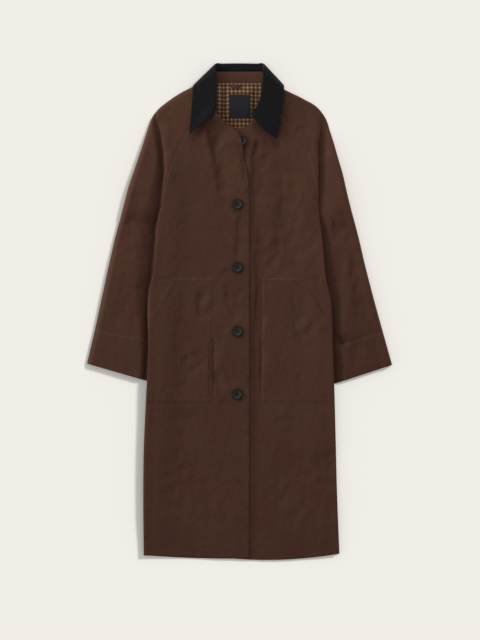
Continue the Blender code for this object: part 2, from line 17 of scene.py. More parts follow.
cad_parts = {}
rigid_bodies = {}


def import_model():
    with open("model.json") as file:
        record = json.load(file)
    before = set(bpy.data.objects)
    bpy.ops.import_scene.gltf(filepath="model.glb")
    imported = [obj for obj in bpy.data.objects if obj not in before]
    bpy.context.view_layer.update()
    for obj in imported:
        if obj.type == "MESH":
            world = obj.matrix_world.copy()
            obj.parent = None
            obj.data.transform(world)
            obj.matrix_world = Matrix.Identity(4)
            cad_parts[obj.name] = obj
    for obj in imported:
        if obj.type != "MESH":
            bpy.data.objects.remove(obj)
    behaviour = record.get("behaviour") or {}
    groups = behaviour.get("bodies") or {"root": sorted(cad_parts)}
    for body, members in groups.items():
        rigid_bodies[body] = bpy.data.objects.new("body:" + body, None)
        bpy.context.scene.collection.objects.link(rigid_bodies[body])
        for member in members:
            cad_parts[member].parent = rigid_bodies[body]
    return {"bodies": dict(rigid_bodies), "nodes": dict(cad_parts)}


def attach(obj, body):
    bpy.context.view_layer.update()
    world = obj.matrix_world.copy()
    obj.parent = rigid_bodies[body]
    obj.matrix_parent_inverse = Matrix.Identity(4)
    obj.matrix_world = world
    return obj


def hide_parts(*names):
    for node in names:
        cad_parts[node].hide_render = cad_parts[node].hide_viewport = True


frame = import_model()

bl_info = {
    "name": "Long raglan coat",
    "version": (1, 0, 0),
    "blender": (4, 5, 0),
    "location": "View3D > Sidebar > Coat",
    "description": "Cloth, collar, neck, buttons, sewing and stage of a long raglan coat laid flat",
    "category": "Object",
}

MM = 0.001

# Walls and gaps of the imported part
BODY_WALL = 2.0
SLEEVE_WALL = 1.6
COLLAR_WALL = 1.8
STAND_WALL = 1.6
LINING_WALL = 1.0
LABEL_WALL = 1.0
LOOP_WALL = 1.0
LAYER_GAP = 0.3
SEAM_INSET = 0.4

# How the coat lies
SLEEVE_TUCK = 24.0
TUCK_RAMP = 60.0
EDGE_CURL = 2.0
EDGE_CURL_WIDTH = 25
NECK_RISE = 2.3
CREASE_DROP = 18.0
ARM_DROP = 45
HEM = -571
SIDE_HEM = -561
HEM_REACH = 120
LEFT_HEM_BOW = 9.2
BACK_HEM_BOW = 10.0
LEFT_NECK_DIP = 20.0
RIGHT_NECK_DIP = 8.0
EDGE_ROUND = 4.5
# Share of the side's height that stands up straight beside a sleeve
SIDE_WALL = 0.55
# Shares of the fronts' stand-off that are left at the hem, and that are lost at the chest
HEM_REST = 0.4
CHEST_LOSS = 0.5
LEFT_CHEST_FLAT = 0.8
# Where the fronts stand off most beside the side edges, and swell beside the arm's crease: place, width
SPRING_CREST = (16, 85)
FOLD_CREST = (9, 20)
FOLD_SWELL_RIGHT = 5.5
FOLD_SWELL_LEFT = 2.5
COLLAR_SWELL = 7.0
# Where a front's neck edge rolls up: x, y, half width, height
NECK_ROLLS = ((-44, 450, 30, 7.0), (34, 448, 22, 2.0))
NECK_ROLL_LENGTH = 26
UNDERLAP_CLEAR = 0.3
# Where the left front's fall starts and how far its rise takes, in shares of the fall's width
UNDERLAP_START = 0.15
UNDERLAP_RISE = 4.0
OVERLAP_REACH = 96
OVERLAP_RAMP = 90
CORNER_LIFT = 3.4
CORNER_REACH = 50
CORNER_RAMP = 34
PLACKET_STAND = 0.4
PLACKET_REACH = 30
PLACKET_RAMP = 24
SLEEVE_ROUND = 14.0
SLEEVE_ROUND_LEFT = 6.0
SLEEVE_RIM = 0.8
SLEEVE_CLEAR = 4
SLEEVE_CREST_LEFT = 3.0
CREST_REACH = 26
CREST_RAMP = 20
SLEEVE_FOLD_RISE = 6.0
SLEEVE_FOLD_WIDTH = 7
# Shares of a sleeve's height that are lost over the shoulder, at the shoulder's fold and at the cuff
SHOULDER_LOSS = 0.35
SHOULDER_FOLD_LOSS = 0.85
CUFF_LOSS = 0.25
# Length over which a cuff is pressed, and the least height of a sleeve and where it is reached
CUFF_PRESSED = 200
SLEEVE_LEAST = 2.4
SLEEVE_LEAST_WIDTH = 8
SLEEVE_LIE = 0.8
SLEEVE_SMOOTH = 10
RAGLAN_LAP = 2.0
RAGLAN_RAMP = 25
RAGLAN_SLANT = 0.22
# How boldly the raglan seams sink and rub
SEAM_BOLD_RIGHT = 0.3
SEAM_BOLD_LEFT = 0.8
# How far a sleeve sinks at its raglan seam: at least, and with a bold seam, and where that ends
SEAM_SINK = 0.1
SEAM_SINK_BOLD = 1.4
SEAM_SINK_END = (2, 5)
# Dent and swell of the seam over a cuff: height, place, width
CUFF_SEAM_DENT = (0.7, 0, 1.8)
CUFF_SEAM_SWELL = (0.5, -4.5, 3.0)
POCKET_GAPE = 0.4
GAPE_WIDTH = 14
GAPE_ENDS = 30

# Ramps along a direction: where each starts and how far it takes. Up the coat:
NECK_UP = (430, 55)
CURL_END = (150, 70)
SWELL_UP = (372, 68)
SWELL_END = (445, 60)
SIDE_UP = (-150, 80)
CHEST_UP = (60, 120)
CHEST_LOW = (330, 110)
CREASE_END = (370, 90)
FOLD_UP = (250, 70)
FOLD_END = (400, 60)
LINING_UP = (372, 22)
NECK_DIP_UP = (400, 86)
SHOULDER_UP = (380, 70)
CREST_END = (300, 90)
FOLD_RISE_END = (270, 110)
PLACKET_UP = (-560, 120)
WRINKLE_UP = (-330, 160)
# Out from the middle, up from the pocket's bottom, its opening and the underarm, in from the crease:
NECK_OUT = (118, 45)
LINING_OUT = (72, 20)
SWELL_OUT = (60, 110)
SWELL_IN = (-78, 36)
POCKET_CLEAR = (4, 90)
OPENING_UP = (-12, 24)
JOIN_UP = (-10, 30)
JOIN_IN = (-1, 4)

# Uneven lie of the cloth: height, width and length of its patches, seed
LIE = ((0.9, 60, 150, 0), (0.5, 22, 40, 7), (0.16, 12, 17, 21), (0.14, 8, 10, 13))
# Fine wrinkles: depth, size and share of their lines, size and rim of the areas that have them, and the
# share of them that is left on the skirt
WRINKLE = 0.35
WRINKLE_PATCH = (36, 62)
WRINKLE_SHARE = 0.16
WRINKLE_AREA = (80, 110)
WRINKLE_RIM = (-0.1, 0.3)
WRINKLE_REST = 0.4
# Creases: height, place and width of the swell, share and width of the sharp bottom, how far they sway
# and vary, how slowly they lie back, how far they reach and how they fade
CREASE_SWELL = 0.3
CREASE_CREST = (-1.5, 1.1)
CREASE_BOTTOM = 0.25
CREASE_BOTTOM_WIDTH = 0.45
CREASE_SWAY = 2.2
CREASE_SWAY_PATCH = (16, 22)
CREASE_VARY = 0.7
CREASE_VARY_PATCH = (20, 26)
CREASE_SPREAD = 5.0
CREASE_REACH = 12
CREASE_FADE = 0.3

# Sewing: distances of the rows of stitches from an edge or a seam
RAGLAN_STITCHES = (2.4, 7.8)
EDGE_STITCH = 5.5
HEM_STITCHES = (11.0, 27.0)
POCKET_STITCHES = (2.4, 9.4)
POCKET_TOP_STITCHES = (2.4, 8.4)
OPENING_STITCHES = (3.0, 10.0)
CUFF_STITCHES = (4.0, 11.0)
CUFF_SEAM_STITCH = 2.4
STAND_STITCH = 2.2
COLLAR_STITCH = 6.0
LABEL_STITCH = 2.0
# Beside a turned edge: width of the rim, depth and width of the dent at a row of stitches, and height,
# unevenness and width of the puckers
RIM_WIDTH = 2.6
STITCH_DENT = (0.45, 1.5)
PUCKER = (0.3, 0.5, 5.0)
# How far each turned rim drops
RAGLAN_RIM = 1.2
EDGE_RIM = 0.25
HEM_RIM = 0.5
CUFF_RIM = 0.4
POCKET_RIM = 0.9
OPENING_RIM = 0.5
OPENING_RIM_FLAT = 0.8
STAND_RIM = 0.4
# Thread: width of a stitch, of one on the label and of those in a button
STITCH_WIDTH = 0.45
LABEL_STITCH_WIDTH = 0.4
BUTTON_STITCH_WIDTH = 0.75
STITCH_SEAT = 0.1

# Grid of the cloth: places near an edge, spacing of rows, columns between the edges
FINE = (0.0, 0.7, 1.6, 2.8, 4.4, 6.2, 8.2, 10.6, 13.4)
ROW_STEP = 3.6
FRONT_COLUMNS = 108
BACK_STEP = 9.0
BACK_WIDTH = 450.0
BACK_COLUMNS = 36
POCKET_COLUMNS = 70
POCKET_ROWS = 100
SLEEVE_COLUMNS = 64

FrontRow = namedtuple("FrontRow", "side_x side_y pocket_x edge_x edge_y")
SleeveRow = namedtuple("SleeveRow", "inner_x inner_y outer_x outer_y")
CollarRow = namedtuple("CollarRow", "seam_x seam_y roll_x roll_y edge_x edge_y over steps")
LiningRow = namedtuple("LiningRow", "left_x right_x y")
Crease = namedtuple("Crease", "path width depth ridge")

# Each front from the hem up its side seam, then up the raglan seam to the neck
FRONT_RIGHT = tuple(FrontRow(*row) for row in (
    (-221, -561, -73, 22, -570), (-222, -434, -72, 22, -434), (-221, -323, -69, 22, -323),
    (-216, -209, -66, 22, -209), (-210, -89, -65, 22, -89), (-208, 49, -63, 22, 49),
    (-201, 77, -63, 22, 77), (-195, 141, -62, 22, 141), (-190, 201, -61, 22, 201),
    (-181, 240, -59, 22, 240), (-173, 268, -57, 22, 266), (-166, 300, -54, 20, 296),
    (-155, 337, -51, 16, 330), (-143, 369, -47, 9, 357), (-131, 392, -43, 7, 377),
    (-117, 415, -40, 5, 392), (-103, 438, -36, 2, 401), (-89, 462, -32, -2, 408),
    (-77, 486, -29, -4, 415),
))
FRONT_LEFT = tuple(FrontRow(*row) for row in (
    (230, -557, 52, -34, -567), (225, -434, 52, -34, -434), (222, -323, 52, -34, -323),
    (219, -209, 52, -34, -209), (215, -89, 52, -34, -89), (210, 26, 52, -34, 26),
    (199, 77, 52, -34, 77), (193, 141, 50, -34, 141), (187, 197, 49, -34, 197),
    (183, 224, 48, -34, 224), (178, 263, 47, -34, 259), (171, 296, 45, -32, 286),
    (162, 332, 41, -29, 316), (150, 362, 38, -26, 342), (137, 390, 34, -22, 365),
    (123, 413, 30, -20, 383), (104, 440, 24, -17, 399), (86, 466, 18, -15, 413),
    (72, 486, 12, -13, 423),
))
# Rows of both fronts at the underarm and at the pocket's bottom and top
UNDERARM_ROW = 9
POCKET_BOTTOM_ROW = 3
POCKET_TOP_ROW = 6

# How the left front sinks beside the overlapping edge: y, width, depth
UNDERLAP_SINK = (
    (-560, 10, 1.08), (-520, 14, 1.56), (-433, 22, 1.92), (-318, 15, 2.28), (-260, 15, 2.64),
    (-227, 18, 2.88), (-175, 20, 3.12), (-135, 16, 3.12), (-66, 12, 3.36), (0, 18, 3.84), (49, 26, 3.36),
    (95, 24, 2.88), (150, 11, 2.16), (187, 12, 2.4), (225, 12, 2.4), (285, 17, 2.88), (330, 15, 1.92),
    (365, 8, 0.0),
)
BACK_NECK = ((-75, 524), (70, 524))

# Each sleeve from the cuff to the neck
SLEEVE_RIGHT = tuple(SleeveRow(*row) for row in (
    (-195, -165, -351, -120), (-189, -77, -333, -43), (-187, 6, -316, 36), (-181, 84, -299, 114),
    (-180, 141, -285, 174), (-178, 178, -276, 208), (-180, 202, -267, 243), (-181, 240, -256, 286),
    (-173, 268, -243, 325), (-166, 300, -231, 360), (-155, 337, -220, 394), (-143, 369, -211, 422),
    (-131, 392, -203, 444), (-117, 415, -187, 466), (-103, 438, -165, 484), (-89, 462, -123, 510),
    (-78, 484, -80, 527),
))
SLEEVE_LEFT = tuple(SleeveRow(*row) for row in (
    (200, -172, 351, -123), (195, -92, 330, -48), (191, -1, 307, 36), (178, 79, 287, 114),
    (173, 137, 273, 174), (173, 167, 264, 208), (178, 192, 256, 238), (183, 224, 247, 275),
    (178, 263, 237, 319), (171, 296, 227, 353), (162, 332, 218, 385), (150, 362, 209, 413),
    (137, 390, 198, 445), (123, 413, 179, 470), (104, 440, 146, 490), (86, 466, 109, 508),
    (73, 484, 75, 525),
))

# The crease where the upper arm folds under the body, from the underarm to the shoulder: x, y
CREASE_RIGHT = ((-177, 279), (-173, 321), (-176, 360), (-183, 406), (-192, 447))
CREASE_LEFT = ((184, 279), (184, 321), (185, 360), (187, 406), (190, 447))

# Height of the body's edge over the tucked sleeve, and over the surface below the cuffs: y, height
EDGE_LIFT = (
    (-561, 1.5), (-434, 2.0), (-260, 3.0), (-185, 4.3), (275, 4.3), (345, 2.2), (410, 0.0),
)

# Width over which each sleeve's upper side falls towards the body: y, right, left
SLEEVE_FALL = (
    (-110, 14, 24), (-20, 20, 30), (50, 38, 46), (118, 42, 58), (210, 40, 50), (280, 28, 46),
    (348, 14, 36),
)

# The collar from its right end round the back of the neck to its left end. over is 1 where the leaf
# lies on the front and -1 where it lies behind the back.
COLLAR = tuple(CollarRow(*row) for row in (
    (-63.5, 454, -58, 451, -116, 407, 1.0, 2), (-60, 476, -54, 475, -113, 436, 1.0, 2),
    (-60, 504, -54, 503, -110, 470, 1.0, 2), (-60, 530, -54, 530, -108, 500, 1.0, 2),
    (-60, 548, -55, 551, -107, 516, 0.85, 2), (-57.5, 556, -57, 566, -104, 522, 0.1, 2),
    (-54, 555, -55, 569.5, -99, 525, -0.8, 2), (-40, 555, -40, 570, -78, 505, -1.0, 3),
    (0, 554, 0, 570.5, 0, 493, -1.0, 3), (40, 555, 40, 570, 76, 505, -1.0, 2),
    (54, 555, 55, 569.5, 96, 525, -0.8, 2), (58, 558, 57, 566, 100.5, 522, 0.1, 2),
    (59, 548, 55, 551, 102, 516, 0.85, 2), (59, 530, 53, 530, 101, 500, 1.0, 2),
    (55, 498, 49, 498, 96, 468, 1.0, 2), (47, 473, 41, 473, 92, 434, 1.0, 2),
    (31, 452, 25, 453, 86, 396, 1.0, 0),
))
COLLAR_STEPS = 3
# A section: places up the stand, points round the bend, points down the leaf
STAND_PARTS = (0.0, 0.35, 0.7)
BEND_POINTS = 9
LEAF_POINTS = 16
LEAF_START = len(STAND_PARTS) + BEND_POINTS
# Sections at each end of the collar over which its leaf bulges and lifts
END_SECTIONS = 8
END_RAMP = 7
ROLL_RADIUS = 1.4
ROLL_SEAT = 15.0
LEFT_ROLL_LIFT = 2.0
LEFT_ROLL_RAMP = 30
TURN_SPREAD = 6
LEAF_STAND = 5.0
LEAF_CLEAR = 0.3
LEAF_REACH = 6
# Share of the front at which a section's leaf lies on the fronts
LEAF_ON_FRONT = 0.95
LEAF_BULGE = 6.0
BULGE_WAY = (0.68, 0.73)
# The leaf's lift at its ends: height, share of the leaf that it takes to rise, what it loses to the edge
LEAF_LIFT = 4.0
LEAF_LIFT_RISE = 0.3
LEAF_LIFT_LOSS = 0.6
LEAF_LIFT_END = (0.4, 0.6)
LEAF_SMOOTHING = 8
LEAF_SETTLE = 0.15
STRIP_LEVEL = 3.8
FALL_LEVEL = 1.0

LINING = tuple(LiningRow(*row) for row in (
    (-40, 38, 390), (-60, 56, 415), (-70, 68, 445), (-72, 70, 485), (-67, 65, 525.2),
))
LINING_RISE = LINING_WALL + LAYER_GAP + 0.4
# The lining's folds at the right and under the label: height, ramps across it, ramps up and at the top
RIGHT_FOLD = 6.5
RIGHT_FOLD_OUT = (38.4, 1.2)
LABEL_FOLD = 6.0
LABEL_FOLD_IN = (-32.2, 1.2)
LABEL_FOLD_END = (23.5, 12)
LINING_FOLD_UP = (425, 55)
LINING_FOLD_TOP = 521
LINING_FOLD_FADE = 16
LINING_LIE = 0.7
# Columns of the lining, and closer ones over its folds: from, to, number
LINING_COLUMNS = ((0, 1, 61), (0.212, 0.289, 30), (0.665, 0.775, 24))
STAND_LOWER = (-66, 64, 525.5)
STAND_UPPER = (-54, 52, 552.5)
STAND_SLOPE = 1.6
STAND_BOW = 0.9
STAND_LIE = 0.4
LOOP_BOW = 1.2
TAPE_REACH = 4
LABEL = (-24, 23, 445, 498)
HANGER_LOOP = (-20, 2, 514, 522)

# Pocket edges, and where each slanted opening leaves the pocket's top and meets the side seam: x, y
POCKET_TOP = 77
POCKET_BOTTOM = -209
OPENING_RIGHT = ((-151, 77), (-204, -15))
OPENING_LEFT = ((141, 77), (208, -31))

# The seam over each cuff, from the outer edge inwards: x, y
CUFF_RIGHT = ((-332, -43), (-200, -66))
CUFF_LEFT = ((333, -46), (200, -87))

# Button centres: x, y
LOOSE_BUTTON = (4, 393)
CLOSED_BUTTONS = ((-6, 247), (-6, 102), (-6, -45), (-7, -190))
# How each button is turned: the loose one, and from one to the next
LOOSE_TURN = 20
BUTTON_TURN = 7
# Holes: their distance from the middle and their radius. Ring painted paler as a highlight: radius and
# width.
HOLE_PLACE = 3.5
HOLE_RADIUS = 1.1
RING_RADIUS = 7.4
RING_WIDTH = 1.8
# Thread of a button: half length, place of the two pairs, half a pair's spread, depth under the rim
THREAD_REACH = 2.9
THREAD_PLACE = 2.47
THREAD_SPREAD = 0.35
THREAD_DEPTH = 1.1

# Creases: the line that each follows, its half width, its depth and the swell on its right
BODY_CREASES = tuple(Crease(*row) for row in (
    (((-142, 68), (-140, -60), (-137, -150), (-135, -227)), 13.5, 1.8, 1),
    (((-135, -215), (-140, -260), (-150, -310)), 18, 1.8, 0.4),
    (((-96, 62), (-93, 10), (-88, -30)), 9, 2.7, 0.9),
    (((-131, -98), (-116, -124), (-98, -146)), 10.5, 2, 0.8),
    (((-62, -128), (-52, -160), (-37, -186)), 6, 3, 0.9),
    (((-31, 74), (-24, 20), (-11, -30)), 7.5, 2.2, 0.8),
    (((-71, 440), (-66, 397), (-57, 360), (-47, 300), (-41, 250)), 6.5, 5.6, 1.4),
    (((6, 374), (9, 350), (11, 330), (12, 308), (12, 284)), 6, 1.9, 0.6),
    (((10, 240), (7, 222), (-2, 199), (-2, 176), (-4, 153), (-5, 130), (-4, 106)), 7, 2.1, 0.7),
    (((92, 360), (97, 314), (101, 245), (90, 176), (76, 146), (56, 112), (42, 80)), 20, 3.2, 0.9),
    (((-114, -290), (-150, -390), (-184, -482)), 36, 2.4, 1.2),
    (((-145, 436), (-144, 410)), 6, 1.4, 0.4),
    (((43, 402), (37, 370), (30, 320)), 6.5, 4.2, 1.2),
    (((67, 378), (44, 330), (30, 285), (25, 245)), 10.5, 3, 1.2),
    (((46, 225), (43, 120), (47, 0)), 7.5, 2, 0.8),
    (((41, 66), (40, 0), (43, -70)), 3, 2.1, 0.8),
    (((48.5, 50), (48.5, -80), (48, -204)), 2.5, 2.4, 0.6),
    (((-60.5, -40), (-60.5, -130), (-61, -206)), 2.5, 2.4, 0.6),
    (((-69, -55), (-69.5, -130), (-70, -206)), 2.5, 1.8, 0.4),
    (((99, 70), (126, 38), (130, -26), (150, -79), (170, -117)), 15, 2.0, 1),
    (((148, -40), (166, -58)), 13.5, 0.9, 0.4),
    (((134, -238), (118, -250), (104, -230)), 9, 1.7, 0.6),
    (((188, -312), (197, -360), (205, -420)), 22.5, 2.1, 0.8),
    (((95, -300), (100, -400), (112, -530)), 42, 2.1, 0.9),
    (((-22, 250), (-40, 255), (-60, 252)), 6, 1, 0.4),
    (((-20, 98), (-36, 90), (-50, 70)), 6, 1, 0.4),
    (((-22, -43), (-40, -36), (-56, -38)), 6, 1, 0.4),
    (((-20, -196), (-34, -206), (-46, -224)), 6, 1, 0.4),
    (((-152, 77.5), (-176, 78), (-202, 79)), 2.2, 1, 0.6),
    (((200, 79), (172, 78), (142, 77.5)), 2.2, 1, 0.6),
))
SLEEVE_CREASES = tuple(Crease(*row) for row in (
    (((-196, 462), (-187, 425), (-179, 380), (-174, 335)), 7.5, 3.3, 1),
    (((193, 462), (189, 425), (186, 380), (184, 335)), 7.5, 3.3, 1),
    (((231, -54), (238, -79), (257, -95), (269, -134)), 7.5, 4.0, 1.6),
    (((216, -52), (222, -74), (234, -92)), 6.5, 3.4, 1.2),
    (((-246, 240), (-262, 180), (-276, 110)), 24, 1.8, 0.8),
    (((222, 250), (232, 180), (234, 110), (230, 20)), 12, 2.4, 0.8),
    (((252, 160), (266, 60), (276, -50)), 12, 1.8, 0.8),
    (((212, 235), (220, 190), (221, 150)), 7, 2.0, 0.8),
    (((-232, 300), (-246, 230), (-253, 170)), 12, 1.6, 0.6),
    (((-262, 90), (-272, 20), (-288, -60)), 14, 1.6, 0.6),
    (((137, 429), (135, 406)), 6, 1.4, 0.6),
    (((162, 397), (159, 372), (157, 362)), 6, 1.4, 0.6),
))

# Stage in metres: half the floor's width and its place, the lamps over it, the camera's aim
FLOOR_HALF = 20.0
FLOOR_LEVEL = -0.0002
SHADOW_PLACE = (2.0, 1.5)
FLOOR_LAMP = (0.0, 0.0, 3.0)
AIM = (0.0009, -0.0196, 0.008)
SENSOR_WIDTH = 36.0


def linear(code):
    """Linear colour of an sRGB hex code."""
    parts = [int(code[i:i + 2], 16) / 255 for i in (1, 3, 5)]
    return tuple(p / 12.92 if p <= 0.04045 else ((p + 0.055) / 1.055) ** 2.4 for p in parts)


class CoatSizes(bpy.types.PropertyGroup):
    """Sizes of the cloth and the sewing."""

    body_cloth: FloatProperty(
        name="Body cloth", description="Thickness of the fronts", default=0.0011, unit="LENGTH")
    sleeve_cloth: FloatProperty(
        name="Sleeve cloth", description="Thickness of the sleeves", default=0.0011, unit="LENGTH")
    pocket_cloth: FloatProperty(
        name="Pocket cloth", description="Thickness of the patch pockets", default=0.0005, unit="LENGTH")
    body_rest: FloatProperty(
        name="Body rest", description="How far the front stands off the back in the middle",
        default=0.0035, unit="LENGTH")
    body_spring: FloatProperty(
        name="Body spring", description="How much further it stands off beside the side edges",
        default=0.0055, unit="LENGTH")
    sleeve_rest: FloatProperty(
        name="Sleeve rest", description="How far a sleeve's front stands off its back",
        default=0.0115, unit="LENGTH")
    stitch_step: FloatProperty(
        name="Stitch step", description="Distance from one stitch to the next", default=0.0038,
        unit="LENGTH")
    stitch_length: FloatProperty(
        name="Stitch length", description="Length of the thread that shows", default=0.0028, unit="LENGTH")
    button_width: FloatProperty(
        name="Button width", description="Width of a button", default=0.025, unit="LENGTH")
    button_height: FloatProperty(
        name="Button height", description="Height of a button", default=0.0035, unit="LENGTH")


class CoatColours(bpy.types.PropertyGroup):
    """Colours of the cloth, the lining, the buttons and the thread."""

    shell: FloatVectorProperty(
        name="Shell", description="Waxed cotton", subtype="COLOR", size=3, default=linear("#452A21"))
    shell_waxed: FloatVectorProperty(
        name="Shell, waxed", description="Waxed cotton where the wax lies thicker", subtype="COLOR",
        size=3, default=linear("#412B1F"))
    # Paler tone along edges and seams: partly rubbed wear, partly a painted highlight where ridges catch
    # the light.
    shell_worn_and_highlit: FloatVectorProperty(
        name="Shell, worn", description="Waxed cotton where edges are rubbed", subtype="COLOR", size=3,
        default=linear("#4C3127"))
    corduroy: FloatVectorProperty(
        name="Collar", description="Corduroy", subtype="COLOR", size=3, default=linear("#09090C"))
    # The check's colours are painted darker, as the shade that falls inside the neck.
    check_dark_shaded: FloatVectorProperty(
        name="Check, ground", description="Ground of the lining's check", subtype="COLOR", size=3,
        default=linear("#3A2413"))
    check_middle_shaded: FloatVectorProperty(
        name="Check, bands", description="Bands of the lining's check", subtype="COLOR", size=3,
        default=linear("#5C3E26"))
    check_light_shaded: FloatVectorProperty(
        name="Check, crossings", description="Where the bands cross", subtype="COLOR", size=3,
        default=linear("#83735D"))
    label: FloatVectorProperty(
        name="Label", description="Woven tape", subtype="COLOR", size=3, default=linear("#1E1D21"))
    # A ring painted paler on each button as a highlight.
    button_sheen_ring: FloatVectorProperty(
        name="Button ring", description="Rubbed ring of a button", subtype="COLOR", size=3,
        default=linear("#2B2C29"))
    button: FloatVectorProperty(
        name="Button", description="Moulded plastic", subtype="COLOR", size=3, default=linear("#0C0B0B"))
    thread: FloatVectorProperty(
        name="Thread", description="Sewing thread", subtype="COLOR", size=3, default=linear("#432B22"))
    floor: FloatVectorProperty(
        name="Floor", description="Paper under the coat", subtype="COLOR", size=3,
        default=linear("#F1EEE7"))


class CoatStage(bpy.types.PropertyGroup):
    """Light and camera."""

    left_share: FloatProperty(
        name="Left light", description="Share of the coat's light from the left lamp",
        default=0.31, min=0.0, max=1.0, subtype="FACTOR")
    left_place: FloatVectorProperty(
        name="Left place", description="Where the left lamp stands", subtype="TRANSLATION", size=3,
        default=(-3.1, 1.0, 1.15))
    top_share: FloatProperty(
        name="Top light", description="Share of the coat's light from the lamp beyond the collar",
        default=0.20, min=0.0, max=1.0, subtype="FACTOR")
    top_place: FloatVectorProperty(
        name="Top place", description="Where the lamp beyond the collar stands",
        subtype="TRANSLATION", size=3, default=(-0.5, 3.2, 1.15))
    box_width: FloatProperty(
        name="Box width", description="Width of both lamps' soft boxes", default=1.4, unit="LENGTH")
    rim_share: FloatProperty(
        name="Rim light", description="Light that the rim lamp adds on level cloth", default=0.015, min=0.0,
        max=1.0, subtype="FACTOR")
    rim_place: FloatVectorProperty(
        name="Rim place", description="Where the rim lamp stands", subtype="TRANSLATION", size=3,
        default=(3.0, 0.5, 0.16))
    rim_width: FloatProperty(
        name="Rim width", description="Width of the rim lamp's soft box", default=0.25, unit="LENGTH")
    shadow_share: FloatProperty(
        name="Shadow light", description="Share of the floor's light that the coat keeps off it",
        default=0.38, min=0.0, max=1.0, subtype="FACTOR")
    shadow_height: FloatProperty(
        name="Shadow height", description="Height of the lamp that casts the coat's shadow on the floor",
        default=1.65, unit="LENGTH")
    shadow_spread: FloatProperty(
        name="Shadow spread", description="Softness of that shadow", default=math.radians(10),
        subtype="ANGLE")
    lens: FloatProperty(name="Lens", description="Focal length in millimetres", default=120.0)
    frame_height: FloatProperty(
        name="Frame height", description="What the picture's height takes in", default=1.472, unit="LENGTH")


def size(name):
    """One of the coat's sizes, in millimetres."""
    return getattr(bpy.context.scene.coat_sizes, name) / MM


def colour(name):
    """One of the coat's colours, for a shader's socket."""
    return (*getattr(bpy.context.scene.coat_colours, name), 1.0)


def ease(value):
    """Smooth step from 0 at 0 to 1 at 1."""
    t = np.clip(value, 0.0, 1.0)
    return t * t * (3.0 - 2.0 * t)


def passed(value, ramp):
    """How much of a ramp, given by its start and its length, a value has passed."""
    return ease((value - ramp[0]) / ramp[1])


def bell(value, place, width):
    """Soft bump from 0 up to 1 at a place and down again."""
    return np.exp(-((value - place) / width) ** 2)


def dome(value):
    """Quarter round from 0 at 0 to 1 at 1."""
    return np.sqrt(1.0 - (1.0 - np.clip(value, 0.0, 1.0)) ** 2)


def refine(points, steps):
    """Smooth curve through a table's points, with the given number of steps after each."""
    points = np.array(points, dtype=float)
    lengths = np.linalg.norm(np.diff(points[:, :2], axis=0), axis=1)
    slopes = np.diff(points, axis=0) / lengths[:, None]
    tangents = np.empty_like(points)
    tangents[0] = slopes[0]
    tangents[-1] = slopes[-1]
    share = (lengths[:-1] / (lengths[:-1] + lengths[1:]))[:, None]
    tangents[1:-1] = slopes[:-1] * (1.0 - share) + slopes[1:] * share
    curve = []
    for i, length in enumerate(lengths):
        for t in np.arange(steps[i]) / steps[i]:
            blend = t * t * (3.0 - 2.0 * t)
            leave = (t - 1.0) ** 2 * t * length
            arrive = (t - 1.0) * t * t * length
            curve.append(points[i] * (1.0 - blend) + points[i + 1] * blend
                         + tangents[i] * leave + tangents[i + 1] * arrive)
    curve.append(points[-1])
    return np.array(curve)


def even_steps(points, step):
    """Numbers of steps that make a curve's points about evenly spaced."""
    gaps = np.linalg.norm(np.diff(np.array(points, dtype=float)[:, :2], axis=0), axis=1)
    return [max(1, math.ceil(gap / step)) for gap in gaps]


def spaced(width, count):
    """Places across each row of a panel, close together near both of its edges."""
    fine = np.repeat(np.array(FINE)[None, :], len(width), axis=0)
    share = np.linspace(0, 1, count + 2)[None, 1:-1]
    middle = FINE[-1] + (width[:, None] - 2 * FINE[-1]) * share
    return np.concatenate([fine, middle, width[:, None] - fine[:, ::-1]], axis=1)


def side_line(table, crease):
    """The body's side edge from the hem to the underarm and on along the crease, as x at y."""
    sides = [(row.side_x, row.side_y) for row in table[:UNDERARM_ROW + 1]]
    line = np.array(sides + list(crease), dtype=float)
    return line[:, 1], line[:, 0]


SIDE_RIGHT = side_line(FRONT_RIGHT, CREASE_RIGHT)
SIDE_LEFT = side_line(FRONT_LEFT, CREASE_LEFT)


def inside(x, y):
    """Distance in from the nearer side edge or crease, negative out on the sleeve."""
    from_right = x - np.interp(y, *SIDE_RIGHT)
    from_left = np.interp(y, *SIDE_LEFT) - x
    return np.minimum(from_right, from_left)


def edge_lift(y):
    """How far the body's edge is lifted at y."""
    lift = np.array(EDGE_LIFT)
    return np.interp(y, lift[:, 0], lift[:, 1])


def neck_lift(x, y):
    """Rise of the panels over the collar's fall behind the neck."""
    return NECK_RISE * passed(y, NECK_UP) * (1.0 - passed(abs(x), NECK_OUT))


def underarm(x):
    """Height of the underarm point on the side of x."""
    return np.where(x < 0, FRONT_RIGHT[UNDERARM_ROW].side_y, FRONT_LEFT[UNDERARM_ROW].side_y)


def above_underarm(x, y):
    """Share of the rise from the hanging arm to the shoulder."""
    return ease((y - underarm(x) + ARM_DROP) / ARM_DROP)


def back_floor(x, y):
    """Underside of the back."""
    depth = inside(x, y)
    tucked = edge_lift(y) * (1.0 - ease((depth - SLEEVE_TUCK) / TUCK_RAMP))
    curl = EDGE_CURL * (1.0 - ease(depth / EDGE_CURL_WIDTH)) * (1.0 - passed(y, CURL_END))
    return tucked + curl + neck_lift(x, y)


def sleeve_floor(x, y):
    """Underside of a sleeve."""
    above_crease = ease((inside(x, y) + CREASE_DROP) / CREASE_DROP)
    return edge_lift(y) * above_crease * above_underarm(x, y) + neck_lift(x, y)


def collar_swell(x, y):
    """Swell of the right front under the collar, and of both neck edges beside the collar's ends."""
    bank = np.clip((y - SWELL_UP[0]) / SWELL_UP[1], 0.0, 1.0) ** 2 * (1.0 - passed(y, SWELL_END))
    swell = COLLAR_SWELL * bank * (1.0 - passed(-x, SWELL_OUT)) * (1.0 - passed(x, SWELL_IN))
    for place_x, place_y, wide, height in NECK_ROLLS:
        away = np.hypot((x - place_x) / wide, (y - place_y) / NECK_ROLL_LENGTH)
        swell += height * np.exp(-away ** 2)
    return swell


